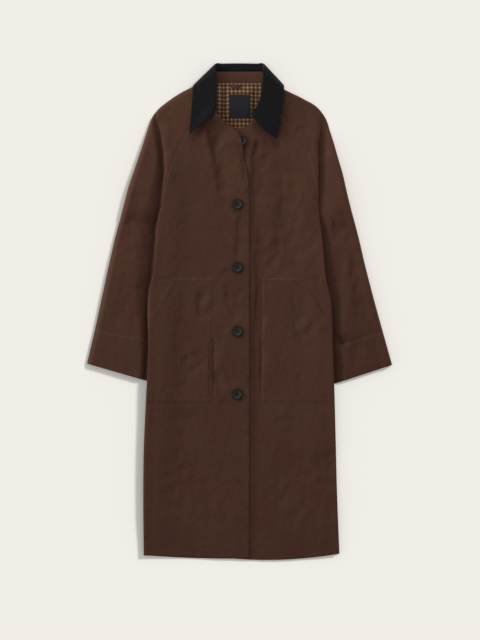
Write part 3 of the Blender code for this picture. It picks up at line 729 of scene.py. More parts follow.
def body_rise(x, y):
    """How far the front stands off the back: round at the sides, lower at the hem and the neck."""
    depth = inside(x, y)
    creased = 1.0 - passed(y, CREASE_END)
    beside_sleeve = 1.0 - SIDE_WALL * passed(y, SIDE_UP)
    edge = 1.0 - beside_sleeve * creased * (1.0 - dome((depth + 1) / EDGE_ROUND))
    flat_chest = np.where(x > 0, LEFT_CHEST_FLAT * passed(y, CHEST_UP), 0.0)
    spring = size("body_spring") * bell(depth, *SPRING_CREST) * creased * (1.0 - flat_chest)
    from_hem = HEM_REST + (1.0 - HEM_REST) * ease((y - HEM) / HEM_REACH)
    low = from_hem * (1.0 - CHEST_LOSS * passed(y, CHEST_LOW))
    swell = np.where(x < 0, FOLD_SWELL_RIGHT, FOLD_SWELL_LEFT) * bell(depth, *FOLD_CREST)
    fold = swell * passed(y, FOLD_UP) * (1.0 - passed(y, FOLD_END))
    return edge * (size("body_rest") + spring) * low + fold + collar_swell(x, y)


def front_skin(x, y):
    """Outside of a front where nothing but the back and the lining is under it."""
    lining = LINING_RISE * passed(y, LINING_UP) * (1.0 - passed(abs(x + 1), LINING_OUT))
    return back_floor(x, y) + 2 * BODY_WALL + LAYER_GAP + lining + body_rise(x, y)


def underlap_skin(x, y):
    """Outside of the left front, which falls away from the overlapping edge and rises again slowly."""
    sink = np.array(UNDERLAP_SINK, dtype=float)
    width = np.interp(y, sink[:, 0], sink[:, 1])
    depth = np.interp(y, sink[:, 0], sink[:, 2])
    past_edge = x - FRONT_RIGHT[0].edge_x
    fall = ease((past_edge + UNDERLAP_START * width) / ((1 + UNDERLAP_START) * width))
    rise = ease((past_edge - width) / (UNDERLAP_RISE * width))
    return front_skin(x, y) - depth * fall * (1 - rise)


def left_pocket_skin(x, y):
    """What the left pocket lies on: the left front at its bottom, and clear of its sunk edge above."""
    clear = passed(y - POCKET_BOTTOM, POCKET_CLEAR)
    return underlap_skin(x, y) * (1 - clear) + front_skin(x, y) * clear


def overlap_skin(x, y):
    """Outside of the right front, which also lies on the left front and on the loose button."""
    edges = np.array([(row.edge_y, row.edge_x) for row in FRONT_LEFT], dtype=float)
    under_edge = np.interp(y, edges[:, 0], edges[:, 1])
    step = size("body_cloth") + UNDERLAP_CLEAR
    away = np.hypot(x - LOOSE_BUTTON[0], y - LOOSE_BUTTON[1])
    corner = CORNER_LIFT * ease((CORNER_REACH - away) / CORNER_RAMP)
    tops = np.array([(row.edge_y, row.edge_x) for row in FRONT_RIGHT], dtype=float)
    to_edge = np.interp(y, tops[:, 0], tops[:, 1]) - x
    stand = PLACKET_STAND * ease((PLACKET_REACH - to_edge) / PLACKET_RAMP) * passed(y, PLACKET_UP)
    lapped = ease((x - under_edge + OVERLAP_REACH) / OVERLAP_RAMP)
    return front_skin(x, y) + step * lapped + corner + stand


def sleeve_skin(x, y, from_outer):
    """Outside of a sleeve's upper side: on the arm, and over the shoulder level with the front."""
    depth = inside(x, y)
    table = np.array(SLEEVE_FALL, dtype=float)
    right, left = (np.interp(y, table[:, 0], table[:, side]) for side in (1, 2))
    width = np.where(x < 0, right, left)
    fall = np.clip((-SLEEVE_CLEAR - depth) / width, 0.0, 1.0)
    steep = fall * (2 - fall)
    rounded = np.where(x < 0, steep, (ease(fall) + steep) / 2)
    stand = size("sleeve_rest") * rounded * (1.0 - SHOULDER_LOSS * passed(y, SHOULDER_UP))
    floor = sleeve_floor(x, y)
    seat = edge_lift(y) * above_underarm(x, y) + neck_lift(x, y)
    arm = seat - floor + 2 * SLEEVE_WALL + LAYER_GAP + stand
    shoulder = back_floor(x, y) + 2 * BODY_WALL + LAYER_GAP + body_rise(x, y) - floor
    join = passed(depth, JOIN_IN) * passed(y - underarm(x), JOIN_UP)
    crest = np.where(x < 0, 0.0, SLEEVE_CREST_LEFT) * ease((CREST_REACH - from_outer) / CREST_RAMP)
    crest = crest * (1 - passed(y, CREST_END))
    full = arm + crest + (shoulder - arm - crest) * join - SLEEVE_RIM
    turn = np.where(x < 0, SLEEVE_ROUND, SLEEVE_ROUND_LEFT)
    return floor + SLEEVE_RIM + full * dome(from_outer / turn)


def uneven(x, y, wide, tall, seed):
    """Soft noise between about -1 and 1 over a plan, with patches of a given width and height."""
    values = [noise.noise((a / wide, b / tall, seed)) for a, b in zip(x.ravel(), y.ravel())]
    return np.array(values).reshape(x.shape)


def ripple(x, y, seed):
    """Uneven lie of the cloth, with fine wrinkles that wander over some of it."""
    lie = sum(height * uneven(x, y, wide, tall, seed + more) for height, wide, tall, more in LIE)
    wrinkle = ease(1 - abs(uneven(x, y, *WRINKLE_PATCH, seed + 3)) / WRINKLE_SHARE)
    patch = passed(uneven(x, y, *WRINKLE_AREA, seed + 5), WRINKLE_RIM)
    patch = patch * (WRINKLE_REST + (1 - WRINKLE_REST) * passed(y, WRINKLE_UP))
    return lie - WRINKLE * wrinkle * patch


def wobble(along, seed):
    """Uneven swell along a seam."""
    return np.array([noise.noise((a / 7, seed, 0.5)) for a in along.ravel()]).reshape(along.shape)


def crease_relief(x, y, creases):
    """Summed creases, each a fold that drops from a swell, lies back slowly and fades at its ends."""
    relief = np.zeros_like(x)
    sway = CREASE_SWAY * uneven(x, y, *CREASE_SWAY_PATCH, 4.0)
    strength = 1.0 + CREASE_VARY * uneven(x, y, *CREASE_VARY_PATCH, 9.0)
    for crease in creases:
        line = refine(crease.path, [6] * (len(crease.path) - 1))
        reach = CREASE_REACH * crease.width
        low, high = line.min(axis=0) - reach, line.max(axis=0) + reach
        near = (x > low[0]) & (x < high[0]) & (y > low[1]) & (y < high[1])
        across, up = x[near] + sway[near], y[near] + sway[near]
        best = np.full(across.shape, 1e9)
        side = np.zeros(across.shape)
        place = np.zeros(across.shape)
        for i, (start, end) in enumerate(zip(line, line[1:])):
            along = end - start
            share = ((across - start[0]) * along[0] + (up - start[1]) * along[1]) / along.dot(along)
            share = np.clip(share, 0.0, 1.0)
            off_x = across - start[0] - share * along[0]
            off_y = up - start[1] - share * along[1]
            away = np.hypot(off_x, off_y)
            closer = away < best
            best = np.where(closer, away, best)
            side = np.where(closer, np.sign(along[0] * off_y - along[1] * off_x), side)
            place = np.where(closer, (i + share) / (len(line) - 1), place)
        offset = best * side / crease.width
        spread = np.where(offset < 0, 1.0, CREASE_SPREAD)
        trough = (1 - CREASE_BOTTOM) * bell(offset / spread, 0, 1)
        trough = trough + CREASE_BOTTOM * bell(offset / spread, 0, CREASE_BOTTOM_WIDTH)
        shape = CREASE_SWELL * crease.ridge * bell(offset, *CREASE_CREST) - crease.depth * trough
        fade = ease(place / CREASE_FADE) * ease((1 - place) / CREASE_FADE)
        relief[near] += shape * strength[near] * fade
    return relief


def body_relief(x, y):
    """Creases and uneven lie of the fronts and of what lies on them."""
    return crease_relief(x, y, BODY_CREASES) + ripple(x, y, 2.0)


def sewn_edge(away, along, rows, seed, rim):
    """Relief beside a turned edge: a rounded rim, a dent at each row of stitches, uneven puckers."""
    relief = -rim * (1 - dome(away / RIM_WIDTH))
    dent, dent_width = STITCH_DENT
    for row in rows:
        relief = relief - dent * bell(away, row, dent_width)
    middle = sum(rows) / len(rows)
    even, vary, pucker_width = PUCKER
    return relief + (even + vary * wobble(along, seed)) * bell(away, middle, pucker_width)


def line_distance(x, y, line):
    """Signed distance from a straight line."""
    (start_x, start_y), (end_x, end_y) = line
    along_x, along_y = end_x - start_x, end_y - start_y
    return (along_x * (y - start_y) - along_y * (x - start_x)) / math.hypot(along_x, along_y)


def front_grid(table, hem_bow, neck_dip):
    """Plan of a front, and each point's distance from its side, its front edge and its hem."""
    sides = [(row.side_x, row.side_y) for row in table]
    steps = even_steps(sides, ROW_STEP)
    side = refine(sides, steps)
    edge = refine([(row.edge_x, row.edge_y) for row in table], steps)
    inward = math.copysign(1.0, edge[0, 0] - side[0, 0])
    lapped = ease((side[:, 1] - table[UNDERARM_ROW].side_y) / RAGLAN_RAMP)
    start = side[:, 0] + inward * (SEAM_INSET - (SEAM_INSET + RAGLAN_LAP) * lapped)
    width = abs(edge[:, 0] - start)
    from_side = spaced(width, FRONT_COLUMNS)
    x = start[:, None] + inward * from_side
    share = (x - side[:, :1]) / (edge[:, :1] - side[:, :1])
    at_hem = 1 - ease((side[:, 1:] - SIDE_HEM) / HEM_REACH)
    bow = hem_bow * at_hem + neck_dip * passed(side[:, 1:], NECK_DIP_UP)
    y = side[:, 1:] + share * (edge[:, 1:] - side[:, 1:]) - bow * 4 * share * (1 - share)
    order = slice(None, None, int(inward))
    fields = (x, y, from_side, width[:, None] - from_side, y - y[:1])
    return [field[:, order] for field in fields]


def back_grid():
    """Plan of the back."""
    sides = [[(row.side_x, row.side_y) for row in table] + [neck]
             for table, neck in zip((FRONT_RIGHT, FRONT_LEFT), BACK_NECK)]
    steps = even_steps(sides[0], BACK_STEP)
    right, left = (refine(points, steps) for points in sides)
    right[:, 0] += SEAM_INSET
    left[:, 0] -= SEAM_INSET
    share = spaced(np.full(len(right), BACK_WIDTH), BACK_COLUMNS)[..., None] / BACK_WIDTH
    flat = right[:, None, :] * (1 - share) + left[:, None, :] * share
    share = share[..., 0]
    at_hem = 1 - ease((flat[..., 1] - SIDE_HEM) / HEM_REACH)
    flat[..., 1] -= BACK_HEM_BOW * 4 * share * (1 - share) * at_hem
    return flat[..., 0], flat[..., 1]


def sleeve_grid(table):
    """Plan of a sleeve's upper side, from its inner to its outer edge, and the distance from each."""
    outers = [(row.outer_x, row.outer_y) for row in table]
    steps = even_steps(outers, ROW_STEP)
    outer = refine(outers, steps)
    inner = refine([(row.inner_x, row.inner_y) for row in table], steps)
    inner[:, 0] += np.copysign(SEAM_INSET, inner[:, 0])
    width = np.linalg.norm(outer - inner, axis=1)
    from_inner = spaced(width, SLEEVE_COLUMNS)
    share = (from_inner / width[:, None])[..., None]
    flat = inner[:, None, :] * (1 - share) + outer[:, None, :] * share
    along = np.concatenate([[0.0], np.cumsum(np.linalg.norm(np.diff(outer, axis=0), axis=1))])
    along = along[:, None] + 0 * from_inner
    return flat[..., 0], flat[..., 1], from_inner, width[:, None] - from_inner, along


def pocket_grid(table, opening):
    """Plan of a pocket, and each point's distance from its opening, inner edge, top and bottom."""
    sides = [(row.side_x, row.side_y, row.pocket_x) for row in table]
    side = refine(sides, even_steps(sides, ROW_STEP))
    y = POCKET_BOTTOM + spaced(np.array([float(POCKET_TOP - POCKET_BOTTOM)]), POCKET_ROWS)[0]
    end = np.interp(y, side[:, 1], side[:, 2])
    inward = math.copysign(1.0, end[0] - side[0, 0])
    start = np.interp(y, side[:, 1], side[:, 0]) + inward
    (top_x, top_y), (low_x, low_y) = opening
    slant = low_x + (y - low_y) / (top_y - low_y) * (top_x - low_x)
    start = np.where(y > low_y, np.maximum(start * inward, slant * inward) * inward, start)
    width = abs(end - start)
    from_start = spaced(width, POCKET_COLUMNS)
    x = start[:, None] + inward * from_start
    y = y[:, None] + 0 * x
    lean = (top_y - low_y) / math.hypot(top_x - low_x, top_y - low_y)
    from_opening = np.hypot(from_start * lean, np.maximum(low_y - y, 0))
    order = slice(None, None, int(inward))
    fields = (x, y, from_opening, width[:, None] - from_start, POCKET_TOP - y, y - POCKET_BOTTOM)
    return [field[:, order] for field in fields]


def rectangle(left, right, lower, upper, columns, rows):
    """Plan of a plain rectangle."""
    return np.meshgrid(np.linspace(left, right, columns + 1), np.linspace(lower, upper, rows + 1))


def add_node(tree, kind, settings=None, values=None, links=None):
    """A shader node with its settings, its values and the sockets that its inputs come from."""
    made = tree.nodes.new(kind)
    for key, value in (settings or {}).items():
        setattr(made, key, value)
    for key, value in (values or {}).items():
        made.inputs[key].default_value = value
    for key, source in (links or {}).items():
        tree.links.new(source, made.inputs[key])
    return made


def new_material(name):
    """An empty material with its tree and its Principled shader."""
    made = bpy.data.materials.new(name)
    made.use_nodes = True
    return made, made.node_tree, made.node_tree.nodes["Principled BSDF"]


def shade(tree, shader, value, span, tones, values=None, links=None):
    """Gives a shader a base colour, from values or links, darker or lighter with a value over a span."""
    low, high = span
    dark, light = tones
    tone = add_node(tree, "ShaderNodeMapRange",
                    values={"From Min": low, "From Max": high, "To Min": dark, "To Max": light},
                    links={"Value": value})
    toned = add_node(tree, "ShaderNodeVectorMath", {"operation": "SCALE"}, values,
                     {**(links or {}), "Scale": tone.outputs["Result"]})
    tree.links.new(toned.outputs[0], shader.inputs["Base Color"])


def band_scale(period):
    """Scale of a Wave texture whose bands repeat at a period in millimetres."""
    return 2 * math.pi / (20 * period * MM)


def waxed_cotton():
    """Waxed cotton: dense plain weave, dull with a faint waxy gloss, paler along edges and seams, partly
    from rubbing and partly as a painted highlight.
    """
    made, tree, shader = new_material("waxed_cotton_brown")
    spot = add_node(tree, "ShaderNodeUVMap", {"uv_map": "cloth"}).outputs["UV"]
    # Wax gathers in clouds about 90 mm wide and in mottles about 12 mm wide.
    cloud = add_node(tree, "ShaderNodeTexNoise", values={"Scale": 11.0, "Detail": 3.0},
                     links={"Vector": spot})
    mottle = add_node(tree, "ShaderNodeTexNoise", values={"Scale": 85.0, "Detail": 4.0},
                      links={"Vector": spot})
    # Thick stretches of yarn are 0.5 mm by 6 mm, and are drawn 2 mm by 14 mm so that they show.
    streaks = []
    for stretch in ((500.0, 70.0, 1.0), (70.0, 500.0, 1.0)):
        drawn = add_node(tree, "ShaderNodeMapping", values={"Scale": stretch}, links={"Vector": spot})
        streaks.append(add_node(tree, "ShaderNodeTexNoise", values={"Scale": 1.0, "Detail": 2.0},
                                links={"Vector": drawn.outputs["Vector"]}).outputs["Fac"])
    slub = add_node(tree, "ShaderNodeMath", {"operation": "ADD"}, links={0: streaks[0], 1: streaks[1]})
    blotch = add_node(tree, "ShaderNodeMath", {"operation": "ADD"},
                      links={0: cloud.outputs["Fac"], 1: mottle.outputs["Fac"]})
    grain = add_node(tree, "ShaderNodeMath", {"operation": "ADD"},
                     links={0: blotch.outputs[0], 1: slub.outputs[0]})
    thick = add_node(tree, "ShaderNodeMapRange", values={"From Min": 0.8, "From Max": 1.2},
                     links={"Value": blotch.outputs[0]})
    dyed = add_node(tree, "ShaderNodeMix", {"data_type": "RGBA"},
                    {6: colour("shell"), 7: colour("shell_waxed")}, {0: thick.outputs["Result"]})
    # The paler mark along edges and seams is partly rubbed wear and partly a painted highlight.
    wear_and_highlight = add_node(tree, "ShaderNodeAttribute", {"attribute_name": "wear_and_highlight"})
    rubbed_and_highlit = add_node(tree, "ShaderNodeMath", {"operation": "MULTIPLY", "use_clamp": True},
                      links={0: wear_and_highlight.outputs["Fac"], 1: mottle.outputs["Fac"]})
    base = add_node(tree, "ShaderNodeMix", {"data_type": "RGBA"},
                    values={7: colour("shell_worn_and_highlit")}, links={0: rubbed_and_highlit.outputs[0], 6: dyed.outputs[2]})
    shade(tree, shader, grain.outputs[0], (1.5, 2.5), (0.80, 1.20), links={0: base.outputs[2]})
    gloss = add_node(tree, "ShaderNodeMapRange",
                     values={"From Min": 0.3, "From Max": 0.7, "To Min": 0.80, "To Max": 0.95},
                     links={"Value": mottle.outputs["Fac"]})
    tree.links.new(gloss.outputs["Result"], shader.inputs["Roughness"])
    shader.inputs["Specular IOR Level"].default_value = 0.12
    # Plain weave of 0.4 mm threads, drawn at 1.2 mm so that it shows close up.
    yarns = []
    for way in ("X", "Y"):
        yarn = add_node(tree, "ShaderNodeTexWave", {"bands_direction": way},
                        {"Scale": band_scale(1.2), "Distortion": 0.6}, {"Vector": spot})
        yarns.append(yarn.outputs["Fac"])
    weave = add_node(tree, "ShaderNodeMath", {"operation": "MAXIMUM"}, links={0: yarns[0], 1: yarns[1]})
    relief = add_node(tree, "ShaderNodeMath", {"operation": "MULTIPLY_ADD"}, {1: 0.35},
                      {0: weave.outputs[0], 2: slub.outputs[0]})
    bump = add_node(tree, "ShaderNodeBump", values={"Strength": 0.35, "Distance": 0.0006},
                    links={"Height": relief.outputs[0]})
    tree.links.new(bump.outputs["Normal"], shader.inputs["Normal"])
    return made


def corduroy():
    """Cotton corduroy: fine cut-pile wales that drink the light, with a soft sheen at the turn."""
    made, tree, shader = new_material("corduroy_black")
    spot = add_node(tree, "ShaderNodeUVMap", {"uv_map": "cloth"}).outputs["UV"]
    # Wales of 1.5 mm, drawn at 2 mm.
    wale = add_node(tree, "ShaderNodeTexWave", {"bands_direction": "X"},
                    {"Scale": band_scale(2.0), "Distortion": 0.4, "Detail": 1.0}, {"Vector": spot})
    pile = add_node(tree, "ShaderNodeTexNoise", values={"Scale": 260.0, "Detail": 3.0},
                    links={"Vector": spot})
    lift = add_node(tree, "ShaderNodeMath", {"operation": "MULTIPLY_ADD"}, {1: 0.4},
                    {0: pile.outputs["Fac"], 2: wale.outputs["Fac"]})
    # The pile lies one way and the other in patches about 8 mm wide.
    brushed = add_node(tree, "ShaderNodeTexNoise", values={"Scale": 120.0, "Detail": 2.0},
                       links={"Vector": spot})
    shaded = add_node(tree, "ShaderNodeMath", {"operation": "MULTIPLY_ADD"}, {1: 2.4},
                      {0: brushed.outputs["Fac"], 2: lift.outputs[0]})
    shade(tree, shader, shaded.outputs[0], (1.1, 2.7), (0.5, 1.5), {0: colour("corduroy")[:3]})
    shader.inputs["Roughness"].default_value = 0.85
    shader.inputs["Specular IOR Level"].default_value = 0.12
    shader.inputs["Sheen Weight"].default_value = 0.06
    shader.inputs["Sheen Roughness"].default_value = 0.5
    bump = add_node(tree, "ShaderNodeBump", values={"Strength": 0.6, "Distance": 0.0008},
                    links={"Height": lift.outputs[0]})
    tree.links.new(bump.outputs["Normal"], shader.inputs["Normal"])
    return made


def check_lining():
    """Brushed cotton in a small woven check of crossing bands, matt and slightly uneven, its colours all
    painted darker as the shade inside the neck.
    """
    made, tree, shader = new_material("check_lining_cotton")
    spot = add_node(tree, "ShaderNodeUVMap", {"uv_map": "cloth"}).outputs["UV"]
    # Bands of 3.5 mm at a repeat of 9.2 mm, both ways.
    split = add_node(tree, "ShaderNodeSeparateXYZ", links={0: spot})
    bands = []
    for way in ("X", "Y"):
        turn = add_node(tree, "ShaderNodeMath", {"operation": "MULTIPLY"}, {1: 1 / (9.2 * MM)},
                        {0: split.outputs[way]})
        part = add_node(tree, "ShaderNodeMath", {"operation": "PINGPONG"}, {1: 0.5}, {0: turn.outputs[0]})
        bands.append(add_node(tree, "ShaderNodeMapRange", {"interpolation_type": "SMOOTHSTEP"},
                              {"From Min": 0.16, "From Max": 0.22, "To Min": 1.0, "To Max": 0.0},
                              {"Value": part.outputs[0]}).outputs["Result"])
    either = add_node(tree, "ShaderNodeMath", {"operation": "MAXIMUM"}, links={0: bands[0], 1: bands[1]})
    both = add_node(tree, "ShaderNodeMath", {"operation": "MULTIPLY"}, links={0: bands[0], 1: bands[1]})
    # Every tone of the check is painted darker throughout, as the shade inside the neck.
    banded = add_node(tree, "ShaderNodeMix", {"data_type": "RGBA"},
                      {6: colour("check_dark_shaded"), 7: colour("check_middle_shaded")}, {0: either.outputs[0]})
    crossed = add_node(tree, "ShaderNodeMix", {"data_type": "RGBA"}, {7: colour("check_light_shaded")},
                       {0: both.outputs[0], 6: banded.outputs[2]})
    nap = add_node(tree, "ShaderNodeTexNoise", values={"Scale": 500.0, "Detail": 3.0},
                   links={"Vector": spot})
    shade(tree, shader, nap.outputs["Fac"], (0.3, 0.7), (0.85, 1.15), links={0: crossed.outputs[2]})
    shader.inputs["Roughness"].default_value = 0.85
    shader.inputs["Specular IOR Level"].default_value = 0.15
    bump = add_node(tree, "ShaderNodeBump", values={"Strength": 0.4, "Distance": 0.0004},
                    links={"Height": nap.outputs["Fac"]})
    tree.links.new(bump.outputs["Normal"], shader.inputs["Normal"])
    return made


def woven_label():
    """Satin-woven polyester tape: close ribs across and a low, dull gloss."""
    made, tree, shader = new_material("woven_label_black")
    spot = add_node(tree, "ShaderNodeUVMap", {"uv_map": "cloth"}).outputs["UV"]
    # Ribs of 0.3 mm, drawn at 0.9 mm.
    rib = add_node(tree, "ShaderNodeTexWave", {"bands_direction": "Y"}, {"Scale": band_scale(0.9)},
                   {"Vector": spot})
    shade(tree, shader, rib.outputs["Fac"], (0.0, 1.0), (0.85, 1.15), {0: colour("label")[:3]})
    shader.inputs["Roughness"].default_value = 0.75
    shader.inputs["Specular IOR Level"].default_value = 0.12
    bump = add_node(tree, "ShaderNodeBump", values={"Strength": 0.3, "Distance": 0.0002},
                    links={"Height": rib.outputs["Fac"]})
    tree.links.new(bump.outputs["Normal"], shader.inputs["Normal"])
    return made


def moulded_plastic():
    """Polyester button: moulded, clouded like horn, half matt, with a ring painted paler as a highlight."""
    made, tree, shader = new_material("moulded_polyester_dark")
    spot = add_node(tree, "ShaderNodeUVMap", {"uv_map": "cloth"}).outputs["UV"]
    cloud = add_node(tree, "ShaderNodeTexNoise", values={"Scale": 160.0, "Detail": 4.0, "Distortion": 1.5},
                     links={"Vector": spot})
    # The ring is painted paler as a highlight.
    ring = add_node(tree, "ShaderNodeAttribute", {"attribute_name": "wear_and_highlight"})
    base = add_node(tree, "ShaderNodeMix", {"data_type": "RGBA"},
                    values={6: colour("button"), 7: colour("button_sheen_ring")}, links={0: ring.outputs["Fac"]})
    shade(tree, shader, cloud.outputs["Fac"], (0.3, 0.7), (0.6, 1.5), links={0: base.outputs[2]})
    gloss = add_node(tree, "ShaderNodeMapRange",
                     values={"From Min": 0.3, "From Max": 0.7, "To Min": 0.50, "To Max": 0.65},
                     links={"Value": cloud.outputs["Fac"]})
    tree.links.new(gloss.outputs["Result"], shader.inputs["Roughness"])
    shader.inputs["Specular IOR Level"].default_value = 0.2
    return made


def sewing_thread(name, tint):
    """Spun polyester thread: fine twist, matt."""
    made, tree, shader = new_material(name)
    place = add_node(tree, "ShaderNodeTexCoord")
    twist = add_node(tree, "ShaderNodeTexNoise", values={"Scale": 900.0, "Detail": 2.0},
                     links={"Vector": place.outputs["Object"]})
    shade(tree, shader, twist.outputs["Fac"], (0.3, 0.7), (0.75, 1.25), {0: tint[:3]})
    shader.inputs["Roughness"].default_value = 0.7
    return made


def finish_of(name):
    """A finish by name, made once."""
    makers = {
        "waxed_cotton_brown": waxed_cotton,
        "corduroy_black": corduroy,
        "check_lining_cotton": check_lining,
        "woven_label_black": woven_label,
        "moulded_polyester_dark": moulded_plastic,
        "sewing_thread_brown": lambda: sewing_thread("sewing_thread_brown", colour("thread")),
        "sewing_thread_black": lambda: sewing_thread("sewing_thread_black", colour("corduroy")),
    }
    return bpy.data.materials.get(name) or makers[name]()


def mesh_from(name, mesh):
    """A mesh of a name from a bmesh, which it frees."""
    data = bpy.data.meshes.new(name)
    mesh.to_mesh(data)
    mesh.free()
    return data


def add_object(name, data):
    """An object of the scene with its data."""
    made = bpy.data.objects.new(name, data)
    bpy.context.scene.collection.objects.link(made)
    return made


def add_piece(name, data, finish, nodes):
    """A piece of the coat: its object, what it stands for and its finish."""
    data.materials.append(finish_of(finish))
    data.shade_smooth()
    made = add_object(name, data)
    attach(made, "root")
    if nodes:
        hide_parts(*nodes)
    return made


def cloth(name, points, wall, finish, nodes, flat=None, wear_and_highlight=None, offset=-1.0):
    """A closed cloth shell from a grid of points of its outside, with its cloth map and its mark of wear
    and painted highlight.

    Where they aren't given, the cloth is mapped by its plan and has no such mark.
    """
    rows, columns = points.shape[:2]
    flat = points[..., :2] if flat is None else flat
    wear_and_highlight = np.zeros((rows, columns)) if wear_and_highlight is None else np.clip(wear_and_highlight, 0, 1)
    grid = bmesh.new()
    bmesh.ops.create_grid(grid, x_segments=columns - 1, y_segments=rows - 1, size=1.0)
    data = mesh_from(name, grid)
    place = np.empty(len(data.vertices) * 3)
    data.vertices.foreach_get("co", place)
    place = place.reshape(-1, 3)
    column = np.rint((place[:, 0] + 1) / 2 * (columns - 1)).astype(int)
    row = np.rint((place[:, 1] + 1) / 2 * (rows - 1)).astype(int)
    data.vertices.foreach_set("co", (points[row, column] * MM).ravel())
    corner = np.empty(len(data.loops), dtype=np.int32)
    data.loops.foreach_get("vertex_index", corner)
    cloth_map = data.uv_layers.new(name="cloth")
    cloth_map.data.foreach_set("uv", (flat[row, column][corner] * MM).ravel())
    mark = data.attributes.new("wear_and_highlight", "FLOAT", "POINT")
    mark.data.foreach_set("value", wear_and_highlight[row, column].astype(np.float32))
    made = add_piece(name, data, finish, nodes)
    solid = made.modifiers.new("Cloth", "SOLIDIFY")
    solid.thickness = wall * MM
    solid.offset = offset
    soft = made.modifiers.new("Turned rim", "BEVEL")
    soft.width = 0.25 * wall * MM
    soft.segments = 2
    soft.limit_method = "ANGLE"
    soft.angle_limit = math.radians(55)
    return made


def say_sheet(points, cut=None):
    """Works out the size of a cloth's flat cut, from its plan if none is given."""
    if cut is None:
        cut = (np.ptp(points[..., 0]) * MM, np.ptp(points[..., 1]) * MM)


def surface(*names):
    """Ray-cast tree of some finished pieces' outsides."""
    grid = bmesh.new()
    for name in names:
        grid.from_mesh(bpy.data.objects[name].data)
    tree = BVHTree.FromBMesh(grid)
    grid.free()
    return tree


def top_of(tree, x, y, reach=0.0):
    """Highest point of the pieces at a place, or within reach of it, in millimetres."""
    places = [(x, y)]
    if reach:
        turns = np.linspace(0, 2 * math.pi, 8, endpoint=False)
        places += [(x + reach * math.cos(a), y + reach * math.sin(a)) for a in turns]
    heights = [0.0]
    for place_x, place_y in places:
        hit = tree.ray_cast(Vector((place_x * MM, place_y * MM, 1.0)), Vector((0, 0, -1)))[0]
        if hit is not None:
            heights.append(hit.z / MM)
    return max(heights)


def tops_of(tree, x, y):
    """Highest points of the pieces under each point of a tape."""
    tops = [top_of(tree, a, b, TAPE_REACH) for a, b in zip(x.ravel(), y.ravel())]
    return np.array(tops).reshape(x.shape)


def build_front(name, table, hem_bow, neck_dip, skin, seed, bold):
    """One front: its skin, creases, front edge, hem, and a raglan seam that is more or less bold."""
    x, y, from_side, from_edge, from_hem = front_grid(table, hem_bow, neck_dip)
    raglan = ease((y - underarm(x)) / RAGLAN_RAMP)
    across = from_side * (1 - RAGLAN_SLANT * raglan)
    relief = body_relief(x, y)
    relief += raglan * bold * sewn_edge(across, y, RAGLAN_STITCHES, seed, RAGLAN_RIM)
    relief += sewn_edge(from_edge, y, (EDGE_STITCH,), seed + 1, EDGE_RIM)
    relief += (sewn_edge(from_hem, x, HEM_STITCHES[:1], seed + 2, HEM_RIM)
               + sewn_edge(from_hem, x, HEM_STITCHES[1:], seed + 3, 0.0))
    lowest = back_floor(x, y) + BODY_WALL + LAYER_GAP / 2 + size("body_cloth")
    z = np.maximum(skin(x, y) + relief, lowest)
    # Paler along the raglan seam, the hem and the side edges: partly rubbed wear, partly painted highlight.
    wear_and_highlight = bold * raglan * bell(across, 0, 4) + bell(from_hem, 0, 3)
    wear_and_highlight += 0.4 * bell(inside(x, y), 2, 4)
    points = np.stack([x, y, z], axis=2)
    made = cloth(name + "_cloth", points, size("body_cloth"), "waxed_cotton_brown", [name],
                 wear_and_highlight=wear_and_highlight)
    say_sheet(points)


def build_sleeve(name, table, cuff, seed, bold):
    """One sleeve as a flattened tube, folded at its outer edge, open at the cuff and the raglan seam."""
    x, y, from_inner, from_outer, along = sleeve_grid(table)
    raglan = ease((y - underarm(x)) / RAGLAN_RAMP)
    over_seam = line_distance(x, y, cuff) * np.sign(cuff[1][0] - cuff[0][0])
    relief = crease_relief(x, y, SLEEVE_CREASES) + SLEEVE_LIE * ripple(x, y, seed)
    relief -= raglan * (SEAM_SINK + SEAM_SINK_BOLD * bold) * (1 - passed(from_inner, SEAM_SINK_END))
    dent, *dent_place = CUFF_SEAM_DENT
    swell, *swell_place = CUFF_SEAM_SWELL
    relief += swell * bell(over_seam, *swell_place) - dent * bell(over_seam, *dent_place)
    relief += (sewn_edge(along, from_outer, CUFF_STITCHES[:1], seed + 1, CUFF_RIM)
               + sewn_edge(along, from_outer, CUFF_STITCHES[1:], seed + 2, 0.0))
    fade = dome(from_outer / SLEEVE_SMOOTH)
    fold_rise = SLEEVE_FOLD_RISE * (1 - SHOULDER_FOLD_LOSS * passed(y, FOLD_RISE_END))
    lower_z = sleeve_floor(x, y) + fold_rise * (1 - dome(from_outer / SLEEVE_FOLD_WIDTH))
    pressed = (1 - CUFF_LOSS) + CUFF_LOSS * ease(along / CUFF_PRESSED)
    upper_z = lower_z + (sleeve_skin(x, y, from_outer) - lower_z) * pressed + relief * fade
    upper_z = np.maximum(upper_z, lower_z + SLEEVE_LEAST * dome(from_outer / SLEEVE_LEAST_WIDTH))
    upper = np.stack([x, y, upper_z], axis=2)
    lower = np.stack([x, y, lower_z], axis=2)[:, ::-1][:, 1::2]
    points = np.concatenate([upper, lower], axis=1)
    flat = np.concatenate([np.stack([from_outer, along], axis=2),
                           np.stack([-from_outer, along], axis=2)[:, ::-1][:, 1::2]], axis=1)
    # Paler along the outer fold, the cuff and below the cuff seam: partly rubbed wear, partly painted
    # highlight.
    wear_and_highlight = bell(from_outer, 0, 5) + bell(along, 0, 4) + bell(over_seam, -3, 2.5)
    wear_and_highlight = np.concatenate([wear_and_highlight, 0 * wear_and_highlight[:, ::-1][:, 1::2]], axis=1)
    order = slice(None, None, 1 if x[0, 0] > 0 else -1)
    points, flat, wear_and_highlight = points[:, order], flat[:, order], wear_and_highlight[:, order]
    made = cloth(name + "_cloth", points, size("sleeve_cloth"), "waxed_cotton_brown",
                 [name + "_front", name + "_back"], flat, wear_and_highlight)
    say_sheet(points, (2 * from_outer.max() * MM, along.max() * MM))


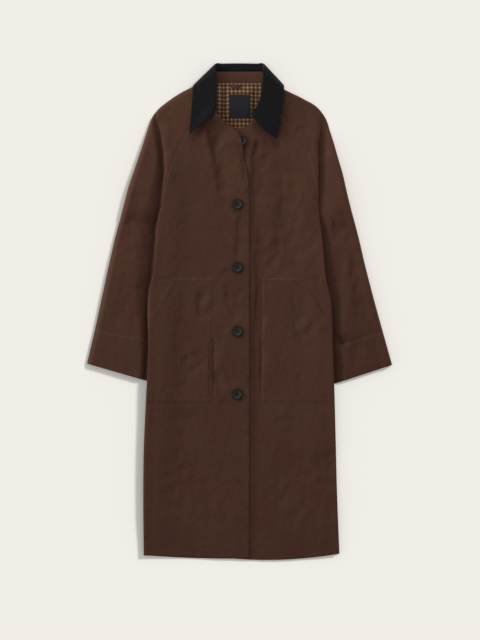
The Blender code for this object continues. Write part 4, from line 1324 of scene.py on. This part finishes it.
def build_pocket(name, table, opening, skin, seed, lies_flat):
    """One patch pocket, stitched down on its front but for its opening, which gapes or lies flat."""
    x, y, from_opening, from_inner, from_top, from_bottom = pocket_grid(table, opening)
    low_y = opening[1][1]
    at_opening = passed(y - low_y, OPENING_UP)
    rim = OPENING_RIM + OPENING_RIM_FLAT * lies_flat
    relief = body_relief(x, y)
    relief += 0.5 * at_opening * sewn_edge(from_opening, y, OPENING_STITCHES, seed, rim)
    relief += sewn_edge(from_inner, y, POCKET_STITCHES, seed + 1, POCKET_RIM)
    relief += sewn_edge(from_top, x, POCKET_TOP_STITCHES, seed + 2, POCKET_RIM)
    relief += sewn_edge(from_bottom, x, POCKET_STITCHES, seed + 3, POCKET_RIM)
    gape = bell(from_opening, 0, GAPE_WIDTH) * ease((y - low_y) / GAPE_ENDS)
    gape = gape * ease((POCKET_TOP - y) / GAPE_ENDS)
    seat = LAYER_GAP / 2 + size("pocket_cloth")
    z = skin(x, y) + seat + relief + POCKET_GAPE * gape * (1 - lies_flat)
    # The pocket's edges and its opening are painted paler: partly rubbed wear, partly painted highlight.
    edges = np.minimum(np.minimum(from_inner, from_top), from_bottom)
    rubbed_and_highlit = 0.5 * (1 - lies_flat) * at_opening * bell(from_opening, 0, 4)
    points = np.stack([x, y, z], axis=2)
    made = cloth(name + "_cloth", points, size("pocket_cloth"), "waxed_cotton_brown", [name],
                 wear_and_highlight=bell(edges, 0, 4) + rubbed_and_highlit)
    say_sheet(points)


def collar_section(values, tree):
    """Middle line of the folded collar in one section, from its seam round the roll to its edge."""
    seam_x, seam_y, roll_x, roll_y, edge_x, edge_y, over = values
    share = (over + 1) / 2
    seat = LAYER_GAP + COLLAR_WALL / 2 + LEAF_CLEAR
    level = ROLL_SEAT + LEFT_ROLL_LIFT * ease(roll_x / LEFT_ROLL_RAMP)
    seam_z = STRIP_LEVEL * (1 - share) + level * share
    leaf_z = FALL_LEVEL * (1 - share) + (level + 2 * ROLL_RADIUS) * share
    on_front = top_of(tree, edge_x, edge_y, LEAF_REACH) + seat + LEAF_STAND
    edge_z = FALL_LEVEL * (1 - share) + on_front * share
    roll = Vector((roll_x, roll_y, (seam_z + leaf_z) / 2))
    seam = Vector((seam_x, seam_y, seam_z))
    edge = Vector((edge_x, edge_y, edge_z))
    to_seam = (seam - roll).to_2d().normalized()
    to_edge = (edge - roll).to_2d().normalized()
    outward = -(to_seam + to_edge).normalized().to_3d()
    across = (to_edge - to_seam).to_3d() * TURN_SPREAD * (1 - abs(over)) + Vector((0, 0, leaf_z - seam_z))
    across = (across - outward * across.dot(outward)).normalized()
    centre = roll - outward * ROLL_RADIUS
    bend = []
    for turn in np.linspace(-90, 90, BEND_POINTS):
        angle = math.radians(turn)
        bend.append(centre + (outward * math.cos(angle) + across * math.sin(angle)) * ROLL_RADIUS)
    line = [seam.lerp(bend[0], part) for part in STAND_PARTS] + bend
    for part in np.linspace(0, 1, LEAF_POINTS + 1)[1:]:
        point = bend[-1].lerp(edge, part)
        if share > LEAF_ON_FRONT:
            point.z = max(point.z, top_of(tree, point.x, point.y, LEAF_REACH) + seat)
        line.append(point)
    return line


def build_collar():
    """The collar: a folded band lofted through its sections, in corduroy."""
    tree = surface("sleeve_right_cloth", "sleeve_left_cloth", "front_right_cloth", "front_left_cloth",
                   "back_cloth")
    steps = [COLLAR_STEPS * row.steps for row in COLLAR[:-1]]
    seams = refine([(row.seam_x, row.seam_y, row.over) for row in COLLAR], steps)
    rolls = refine([(row.roll_x, row.roll_y) for row in COLLAR], steps)
    edges = refine([(row.edge_x, row.edge_y) for row in COLLAR], steps)
    lines = []
    for seam, roll, edge in zip(seams, rolls, edges):
        over = float(np.clip(seam[2], -1.0, 1.0))
        lines.append(collar_section((seam[0], seam[1], *roll, *edge, over), tree))
    points = np.array(lines)
    part = np.linspace(0, 1, LEAF_POINTS + 1)[1:]
    leaf = points[:, LEAF_START:]
    count = np.arange(len(points))
    ending = ease((count - len(points) + END_SECTIONS) / END_RAMP)[:, None]
    bulge = LEAF_BULGE * ending * 4 * part * (1 - part)
    leaf[..., 0] -= BULGE_WAY[0] * bulge
    leaf[..., 1] -= BULGE_WAY[1] * bulge
    ends = ease((END_SECTIONS - np.minimum(count, count[::-1])) / END_RAMP)[:, None]
    lift = LEAF_LIFT * ends * ease(part / LEAF_LIFT_RISE)
    leaf[..., 2] += lift * (1 - LEAF_LIFT_LOSS * passed(part, LEAF_LIFT_END))
    z = leaf[..., 2]
    lowest = z.copy()
    for _ in range(LEAF_SMOOTHING):
        z[1:-1, 1:-1] = (z[:-2, 1:-1] + z[2:, 1:-1] + z[1:-1, :-2] + z[1:-1, 2:]) / 4
        z[:, 1:] = np.maximum(z[:, 1:], lowest[:, 1:] - LEAF_SETTLE)
    length = np.concatenate([[0.0], np.cumsum(np.linalg.norm(np.diff(edges, axis=0), axis=1))])
    depth = np.cumsum(np.linalg.norm(np.diff(points, axis=1, prepend=points[:, :1]), axis=2), axis=1)
    flat = np.stack([length[:, None] + 0 * depth, depth], axis=2)
    made = cloth("collar_corduroy", points[:, ::-1], COLLAR_WALL, "corduroy_black", ["collar"],
                 flat[:, ::-1], offset=0.0)
    cut = (length[-1] * MM, depth.max() * MM)
    say_sheet(points, cut)


def build_neck():
    """Stand, lining, label and hanger loop inside the neck."""
    share, rise = rectangle(0, 1, 0, 1, 60, 16)
    left = STAND_LOWER[0] + rise * (STAND_UPPER[0] - STAND_LOWER[0])
    right = STAND_LOWER[1] + rise * (STAND_UPPER[1] - STAND_LOWER[1])
    x = left + share * (right - left)
    y = STAND_LOWER[2] + rise * (STAND_UPPER[2] - STAND_LOWER[2])
    z = NECK_RISE + STAND_WALL + STAND_SLOPE * (1 - rise) + STAND_BOW * np.sin(math.pi * rise)
    z += STAND_LIE * ripple(x, y, 11.0)
    z += sewn_edge(y - STAND_LOWER[2], x, (STAND_STITCH,), 12.0, STAND_RIM)
    # Paler along the stand's lower edge: partly rubbed wear, partly painted highlight.
    wear_and_highlight = 0.6 * bell(y, STAND_LOWER[2], 2.5)
    stand = cloth("collar_stand_cloth", np.stack([x, y, z], axis=2), STAND_WALL, "waxed_cotton_brown",
                  ["collar_stand"], wear_and_highlight=wear_and_highlight)

    left = refine([(row.left_x, row.y) for row in LINING], [10] * 4)
    right = refine([(row.right_x, row.y) for row in LINING], [10] * 4)
    share = np.sort(np.concatenate([np.linspace(*columns) for columns in LINING_COLUMNS]))[None, :, None]
    flat = left[:, None, :] * (1 - share) + right[:, None, :] * share
    x, y = flat[..., 0], flat[..., 1]
    fold = RIGHT_FOLD * passed(-x, RIGHT_FOLD_OUT)
    fold += LABEL_FOLD * passed(x, LABEL_FOLD_IN) * (1 - passed(x, LABEL_FOLD_END))
    z = back_floor(x, y) + BODY_WALL + LAYER_GAP + LINING_WALL + LINING_LIE * ripple(x, y, 17.0)
    z += fold * passed(y, LINING_FOLD_UP) * ease((LINING_FOLD_TOP - y) / LINING_FOLD_FADE)
    points = np.stack([x, y, z], axis=2)
    lining = cloth("lining_check", points, LINING_WALL, "check_lining_cotton", ["lining"])
    tree = surface("lining_check")
    x, y = rectangle(*LABEL, 24, 26)
    z = tops_of(tree, x, y) + (LAYER_GAP + LABEL_WALL)
    label = cloth("label_tape", np.stack([x, y, z], axis=2), LABEL_WALL, "woven_label_black", ["label"])
    x, y = rectangle(*HANGER_LOOP, 24, 8)
    bow = np.sin(math.pi * (x - HANGER_LOOP[0]) / (HANGER_LOOP[1] - HANGER_LOOP[0]))
    z = tops_of(tree, x, y).max() + LAYER_GAP + LOOP_WALL + LOOP_BOW * bow
    loop = cloth("hanger_loop_tape", np.stack([x, y, z], axis=2), LOOP_WALL, "waxed_cotton_brown",
                 ["hanger_loop"])


def button_mesh():
    """One four-hole button standing on the origin, with a rounded rim and a dished middle."""
    radius = size("button_width") / 2
    height = size("button_height")
    profile = (
        (0.0, 0.0), (radius - 1.8, 0.0), (radius - 0.6, 0.5), (radius, 1.4), (radius - 0.1, height - 1.0),
        (radius - 0.7, height - 0.25), (radius - 1.6, height), (radius - 2.6, height - 0.2),
        (radius - 3.4, height - 0.9), (radius - 4.2, height - 1.25), (0.0, height - 1.35),
    )
    mesh = bmesh.new()
    verts = [mesh.verts.new((r * MM, 0.0, z * MM)) for r, z in profile]
    edges = [mesh.edges.new(pair) for pair in zip(verts, verts[1:])]
    bmesh.ops.spin(mesh, geom=verts + edges, cent=(0, 0, 0), axis=(0, 0, 1), angle=2 * math.pi, steps=48,
                   use_merge=True)
    bmesh.ops.remove_doubles(mesh, verts=mesh.verts[:], dist=0.00001)
    bmesh.ops.recalc_face_normals(mesh, faces=mesh.faces[:])
    return mesh


def holed_button():
    """Mesh of a button with its four thread holes cut."""
    holes = bmesh.new()
    for turn in (45, 135, 225, 315):
        angle = math.radians(turn)
        place = Vector((math.cos(angle), math.sin(angle), 0)) * HOLE_PLACE * MM
        bmesh.ops.create_cone(holes, cap_ends=True, segments=16, radius1=HOLE_RADIUS * MM,
                              radius2=HOLE_RADIUS * MM, depth=20 * MM, matrix=Matrix.Translation(place))
    blank = add_object("button_blank", mesh_from("button_blank", button_mesh()))
    drill = add_object("button_drill", mesh_from("button_drill", holes))
    cut = blank.modifiers.new("Thread holes", "BOOLEAN")
    cut.operation = "DIFFERENCE"
    cut.solver = "EXACT"
    cut.object = drill
    data = bpy.data.meshes.new_from_object(blank.evaluated_get(bpy.context.evaluated_depsgraph_get()))
    for solid in (blank, drill):
        bpy.data.objects.remove(solid)
    return data


def thread_bead(mesh, start, end, thickness):
    """One short stitch of thread between two points."""
    along = end - start
    turn = along.to_track_quat("X", "Z").to_matrix().to_4x4()
    scale = Matrix.Diagonal((along.length / 2 * 1.1, thickness / 2, thickness / 2, 1.0))
    bmesh.ops.create_uvsphere(mesh, u_segments=6, v_segments=4, radius=1.0,
                              matrix=Matrix.Translation((start + end) / 2) @ turn @ scale)


def thread_object(name, mesh, finish):
    """A piece of sewing from its stitches."""
    return add_piece(name, mesh_from(name, mesh), finish, [])


def build_buttons():
    """The five buttons, each on the cloth under it, and the thread that holds them."""
    threads = bmesh.new()
    places = [(LOOSE_BUTTON, "front_left_cloth", LOOSE_TURN)]
    places += [(spot, "front_right_cloth", 0) for spot in CLOSED_BUTTONS]
    data = holed_button()
    for number, ((x, y), under, turn) in enumerate(places, start=1):
        tree = surface(under)
        height = max(top_of(tree, x, y, size("button_width") / 2 * part) for part in (0.3, 0.65, 1.0))
        foot = Vector((x, y, height + LAYER_GAP)) * MM
        angle = math.radians(turn + BUTTON_TURN * number)
        seat = Matrix.Translation(foot) @ Matrix.Rotation(angle, 4, "Z")
        own = data.copy()
        corner = np.empty(len(own.loops), dtype=np.int32)
        own.loops.foreach_get("vertex_index", corner)
        place = np.empty(len(own.vertices) * 3)
        own.vertices.foreach_get("co", place)
        button_map = own.uv_layers.new(name="cloth")
        button_map.data.foreach_set("uv", (place.reshape(-1, 3)[corner, :2] + 0.1 * number).ravel())
        away = np.hypot(place[0::3], place[1::3]) / MM
        # Marks the ring that is painted paler as a highlight.
        ring = own.attributes.new("wear_and_highlight", "FLOAT", "POINT")
        ring.data.foreach_set("value", bell(away, RING_RADIUS, RING_WIDTH).astype(np.float32))
        own.transform(seat)
        made = add_piece(f"button_{number}_moulded", own, "moulded_polyester_dark", [f"button_{number}"])
        made.data.set_sharp_from_angle(angle=math.radians(40))
        level = size("button_height") - THREAD_DEPTH
        for side in (-1, 1):
            for spread in (-THREAD_SPREAD, THREAD_SPREAD):
                across = THREAD_PLACE * side + spread
                start = seat @ (Vector((-THREAD_REACH, across, level)) * MM)
                end = seat @ (Vector((THREAD_REACH, across, level)) * MM)
                thread_bead(threads, start, end, BUTTON_STITCH_WIDTH * MM)
    thread_object("button_threads", threads, "sewing_thread_black")


def along_line(points, step):
    """Evenly spaced points along a line."""
    points = np.array(points, dtype=float)
    length = np.concatenate([[0.0], np.cumsum(np.linalg.norm(np.diff(points, axis=0), axis=1))])
    places = np.arange(0, length[-1], step)
    return np.column_stack([np.interp(places, length, points[:, i]) for i in (0, 1)])


def beside(points, away):
    """A line moved sideways in its plane, to the left of its direction for a positive distance."""
    points = np.array(points, dtype=float)
    along = np.gradient(points, axis=0)
    along /= np.linalg.norm(along, axis=1)[:, None]
    return points + np.column_stack([-along[:, 1], along[:, 0]]) * away


def sew(mesh, tree, line, thickness=STITCH_WIDTH):
    """A row of stitches along a line, lying on the pieces under it."""
    half = size("stitch_length") / 2
    places = along_line(line, size("stitch_step"))
    row = bmesh.new()
    for place, ahead in zip(places, places[1:]):
        along = (ahead - place) / np.linalg.norm(ahead - place)
        ends = []
        for x, y in (place - along * half, place + along * half):
            hit = tree.ray_cast(Vector((x * MM, y * MM, 1.0)), Vector((0, 0, -1)))[0]
            if hit is None:
                break
            ends.append(hit + Vector((0, 0, STITCH_SEAT * MM)))
        if len(ends) == 2:
            thread_bead(row, ends[0], ends[1], thickness * MM)
    data = mesh_from("stitch_row", row)
    mesh.from_mesh(data)
    bpy.data.meshes.remove(data)


def build_sewing():
    """Every row of topstitching on the shell and the collar."""
    threads = bmesh.new()
    body = surface("front_right_cloth", "front_left_cloth", "pocket_right_cloth", "pocket_left_cloth")
    for table, bow, opening, inward, hem_end in (
        (FRONT_RIGHT, 0.0, OPENING_RIGHT, 1, 20),
        (FRONT_LEFT, LEFT_HEM_BOW, OPENING_LEFT, -1, 25),
    ):
        seam = [(row.side_x, row.side_y) for row in table[UNDERARM_ROW:]]
        raglan = refine(seam, [6] * (len(seam) - 1))
        for away in RAGLAN_STITCHES:
            sew(threads, body, beside(raglan, -away * inward))
        hem = table[0]
        hem_x = np.linspace(hem.side_x + 3 * inward, hem_end, 40)
        reach = (hem_x - hem.side_x) / (hem.edge_x - hem.side_x)
        hem_y = hem.side_y + reach * (hem.edge_y - hem.side_y) - bow * 4 * reach * (1 - reach)
        for away in HEM_STITCHES:
            sew(threads, body, np.column_stack([hem_x, hem_y + away]))
        rows = table[POCKET_BOTTOM_ROW:POCKET_TOP_ROW + 1]
        low, top = rows[0], rows[-1]
        inner = refine([(row.pocket_x, row.side_y) for row in rows], [8] * (len(rows) - 1))
        for away in POCKET_STITCHES:
            sew(threads, body, beside(inner, away * inward)[1:-1])
        (top_x, top_y), (low_x, low_y) = opening
        middle = ((low_x + top_x) / 2, (low_y + top_y) / 2)
        for away in OPENING_STITCHES:
            sew(threads, body, beside([(low_x, low_y), middle, (top_x, top_y)], -away * inward))
        for away in POCKET_TOP_STITCHES:
            sew(threads, body, [(top.side_x + 4 * inward, top_y - away), (top.pocket_x, top_y - away)])
        for away in POCKET_STITCHES:
            level = POCKET_BOTTOM + away
            sew(threads, body, [(low.side_x + 3 * inward, level), (low.pocket_x, level)])
    edges = [(row.edge_x, row.edge_y) for row in FRONT_RIGHT]
    sew(threads, body, beside(refine(edges, even_steps(edges, 12.0)), EDGE_STITCH)[1:])
    sleeves = surface("sleeve_right_cloth", "sleeve_left_cloth")
    for table, cuff in ((SLEEVE_RIGHT, CUFF_RIGHT), (SLEEVE_LEFT, CUFF_LEFT)):
        way = math.copysign(1.0, cuff[0][0])
        for away in (-CUFF_SEAM_STITCH, CUFF_SEAM_STITCH):
            sew(threads, sleeves, beside(cuff, away))
        end = [(table[0].outer_x, table[0].outer_y), (table[0].inner_x, table[0].inner_y)]
        for away in CUFF_STITCHES:
            sew(threads, sleeves, beside(end, -away * way))
    level = STAND_LOWER[2] + STAND_STITCH
    sew(threads, surface("collar_stand_cloth"), [(STAND_LOWER[0] + 2, level), (STAND_LOWER[1] - 2, level)])
    thread_object("topstitching_shell", threads, "sewing_thread_brown")
    dark = bmesh.new()
    collar = surface("collar_corduroy")
    leaf = np.array([(row.edge_x, row.edge_y) for row in COLLAR if row.over == 1.0])
    roll = np.array([(row.roll_x, row.roll_y) for row in COLLAR if row.over == 1.0])
    inset = leaf + (roll - leaf) / np.linalg.norm(roll - leaf, axis=1)[:, None] * COLLAR_STITCH
    for half in (slice(0, 4), slice(4, 8)):
        sew(dark, collar, inset[half])
    tape = surface("label_tape")
    left, right, lower, upper = LABEL
    for x in (left + LABEL_STITCH, right - LABEL_STITCH):
        sew(dark, tape, [(x, lower + LABEL_STITCH), (x, upper - LABEL_STITCH)], LABEL_STITCH_WIDTH)
    thread_object("topstitching_dark", dark, "sewing_thread_black")


def add_lamp(name, lamp, place, share, lit):
    """A lamp that gives the middle of the floor a share of full light, and lights only some pieces."""
    rise = place.z / place.length
    distance = 1.0 if lamp.type == "SUN" else math.pi * place.length_squared
    lamp.energy = share * math.pi * distance / rise
    made = add_object(name, lamp)
    made.location = place
    made.rotation_euler = (-place).to_track_quat("-Z", "Y").to_euler()
    meant = bpy.data.collections.new(name + "_lights")
    for one in lit:
        meant.objects.link(one)
    made.light_linking.receiver_collection = meant


def build_stage():
    """Floor, light, world and camera."""
    stage = bpy.context.scene.coat_stage
    plane = bmesh.new()
    bmesh.ops.create_grid(plane, x_segments=1, y_segments=1, size=FLOOR_HALF)
    data = mesh_from("floor", plane)
    data.transform(Matrix.Translation((0, 0, FLOOR_LEVEL)))
    # Matt paper: no gloss, and a tooth too fine to show.
    paper, _, shader = new_material("matt_paper")
    shader.inputs["Base Color"].default_value = colour("floor")
    shader.inputs["Roughness"].default_value = 1.0
    shader.inputs["Specular IOR Level"].default_value = 0.0
    data.materials.append(paper)
    floor = add_object("floor", data)

    coat = [one for one in bpy.context.scene.objects if one.type == "MESH" and one is not floor]
    for name, place, width, share in (
        ("lamp_left", stage.left_place, stage.box_width, stage.left_share),
        ("lamp_top", stage.top_place, stage.box_width, stage.top_share),
        ("lamp_rim", stage.rim_place, stage.rim_width, stage.rim_share),
    ):
        lamp = bpy.data.lights.new(name, "AREA")
        lamp.size = width
        add_lamp(name, lamp, Vector(place), share, coat)
    from_lamps = stage.left_share + stage.top_share
    for name, place, share in (
        ("lamp_shadow", (*SHADOW_PLACE, stage.shadow_height), stage.shadow_share),
        ("lamp_floor", FLOOR_LAMP, from_lamps - stage.shadow_share),
    ):
        lamp = bpy.data.lights.new(name, "SUN")
        lamp.angle = stage.shadow_spread
        add_lamp(name, lamp, Vector(place), share, [floor])

    world = bpy.data.worlds.new("studio")
    world.use_nodes = True
    ground = world.node_tree.nodes["Background"]
    ground.inputs["Color"].default_value = (1.0, 1.0, 1.0, 1.0)
    ground.inputs["Strength"].default_value = 1.0 - from_lamps
    bpy.context.scene.world = world

    lens = bpy.data.cameras.new("camera")
    lens.lens = stage.lens
    lens.sensor_width = SENSOR_WIDTH
    camera = add_object("camera", lens)
    camera.location = Vector(AIM) + Vector((0, 0, stage.frame_height * stage.lens / SENSOR_WIDTH))
    bpy.context.scene.camera = camera
    bpy.context.scene.view_settings.view_transform = "Standard"


class COAT_OT_sleeves(bpy.types.Operator):
    """Makes both raglan sleeves"""

    bl_idname = "coat.sleeves"
    bl_label = "Sleeves"

    def execute(self, context):
        build_sleeve("sleeve_right", SLEEVE_RIGHT, CUFF_RIGHT, 5.0, SEAM_BOLD_RIGHT)
        build_sleeve("sleeve_left", SLEEVE_LEFT, CUFF_LEFT, 6.0, SEAM_BOLD_LEFT)
        return {"FINISHED"}


class COAT_OT_back(bpy.types.Operator):
    """Makes the back"""

    bl_idname = "coat.back"
    bl_label = "Back"

    def execute(self, context):
        x, y = back_grid()
        points = np.stack([x, y, back_floor(x, y) + BODY_WALL], axis=2)
        made = cloth("back_cloth", points, BODY_WALL, "waxed_cotton_brown", ["back"])
        say_sheet(points)
        return {"FINISHED"}


class COAT_OT_fronts(bpy.types.Operator):
    """Makes the left front and the right front that lies over it"""

    bl_idname = "coat.fronts"
    bl_label = "Fronts"

    def execute(self, context):
        build_front("front_left", FRONT_LEFT, LEFT_HEM_BOW, LEFT_NECK_DIP, underlap_skin, 21.0,
                    SEAM_BOLD_LEFT)
        build_front("front_right", FRONT_RIGHT, 0.0, RIGHT_NECK_DIP, overlap_skin, 31.0, SEAM_BOLD_RIGHT)
        return {"FINISHED"}


class COAT_OT_pockets(bpy.types.Operator):
    """Makes both patch pockets"""

    bl_idname = "coat.pockets"
    bl_label = "Pockets"

    def execute(self, context):
        build_pocket("pocket_right", FRONT_RIGHT, OPENING_RIGHT, overlap_skin,
                     41.0, 1.0)
        build_pocket("pocket_left", FRONT_LEFT, OPENING_LEFT, left_pocket_skin,
                     51.0, 0.0)
        return {"FINISHED"}


class COAT_OT_neck(bpy.types.Operator):
    """Makes the stand, the lining, the label and the hanger loop"""

    bl_idname = "coat.neck"
    bl_label = "Neck"

    def execute(self, context):
        build_neck()
        return {"FINISHED"}


class COAT_OT_collar(bpy.types.Operator):
    """Makes the folded corduroy collar"""

    bl_idname = "coat.collar"
    bl_label = "Collar"

    def execute(self, context):
        build_collar()
        return {"FINISHED"}


class COAT_OT_buttons(bpy.types.Operator):
    """Makes the five buttons and their thread"""

    bl_idname = "coat.buttons"
    bl_label = "Buttons"

    def execute(self, context):
        build_buttons()
        return {"FINISHED"}


class COAT_OT_sewing(bpy.types.Operator):
    """Makes every row of topstitching"""

    bl_idname = "coat.sewing"
    bl_label = "Sewing"

    def execute(self, context):
        build_sewing()
        return {"FINISHED"}


class COAT_OT_stage(bpy.types.Operator):
    """Makes the floor, the light and the camera"""

    bl_idname = "coat.stage"
    bl_label = "Stage"

    def execute(self, context):
        build_stage()
        return {"FINISHED"}


class COAT_PT_panel(bpy.types.Panel):
    """Lists the coat's pieces and settings"""

    bl_idname = "COAT_PT_panel"
    bl_label = "Long raglan coat"
    bl_space_type = "VIEW_3D"
    bl_region_type = "UI"
    bl_category = "Coat"

    def draw(self, context):
        for operator in OPERATORS:
            self.layout.operator(operator.bl_idname)
        for group in (context.scene.coat_sizes, context.scene.coat_colours, context.scene.coat_stage):
            box = self.layout.box()
            for key in group.__annotations__:
                box.prop(group, key)


OPERATORS = (
    COAT_OT_sleeves, COAT_OT_back, COAT_OT_fronts, COAT_OT_pockets, COAT_OT_neck, COAT_OT_collar,
    COAT_OT_buttons, COAT_OT_sewing, COAT_OT_stage,
)
CLASSES = (CoatSizes, CoatColours, CoatStage, *OPERATORS, COAT_PT_panel)


def register():
    """Registers the classes and the scene's settings."""
    for made in CLASSES:
        bpy.utils.register_class(made)
    bpy.types.Scene.coat_sizes = PointerProperty(type=CoatSizes)
    bpy.types.Scene.coat_colours = PointerProperty(type=CoatColours)
    bpy.types.Scene.coat_stage = PointerProperty(type=CoatStage)


def unregister():
    """Takes back what register does."""
    del bpy.types.Scene.coat_stage
    del bpy.types.Scene.coat_colours
    del bpy.types.Scene.coat_sizes
    for made in reversed(CLASSES):
        bpy.utils.unregister_class(made)


def main():
    """Builds the coat and its stage."""
    kept = set(frame["nodes"].values()) | set(frame["bodies"].values())
    for old in [one for one in bpy.data.objects if one not in kept]:
        bpy.data.objects.remove(old)
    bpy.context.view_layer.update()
    register()
    bpy.ops.coat.sleeves()
    bpy.ops.coat.back()
    bpy.ops.coat.fronts()
    bpy.ops.coat.pockets()
    bpy.ops.coat.neck()
    bpy.ops.coat.collar()
    bpy.ops.coat.buttons()
    bpy.ops.coat.sewing()
    bpy.ops.coat.stage()


if __name__ == "__main__":
    main()
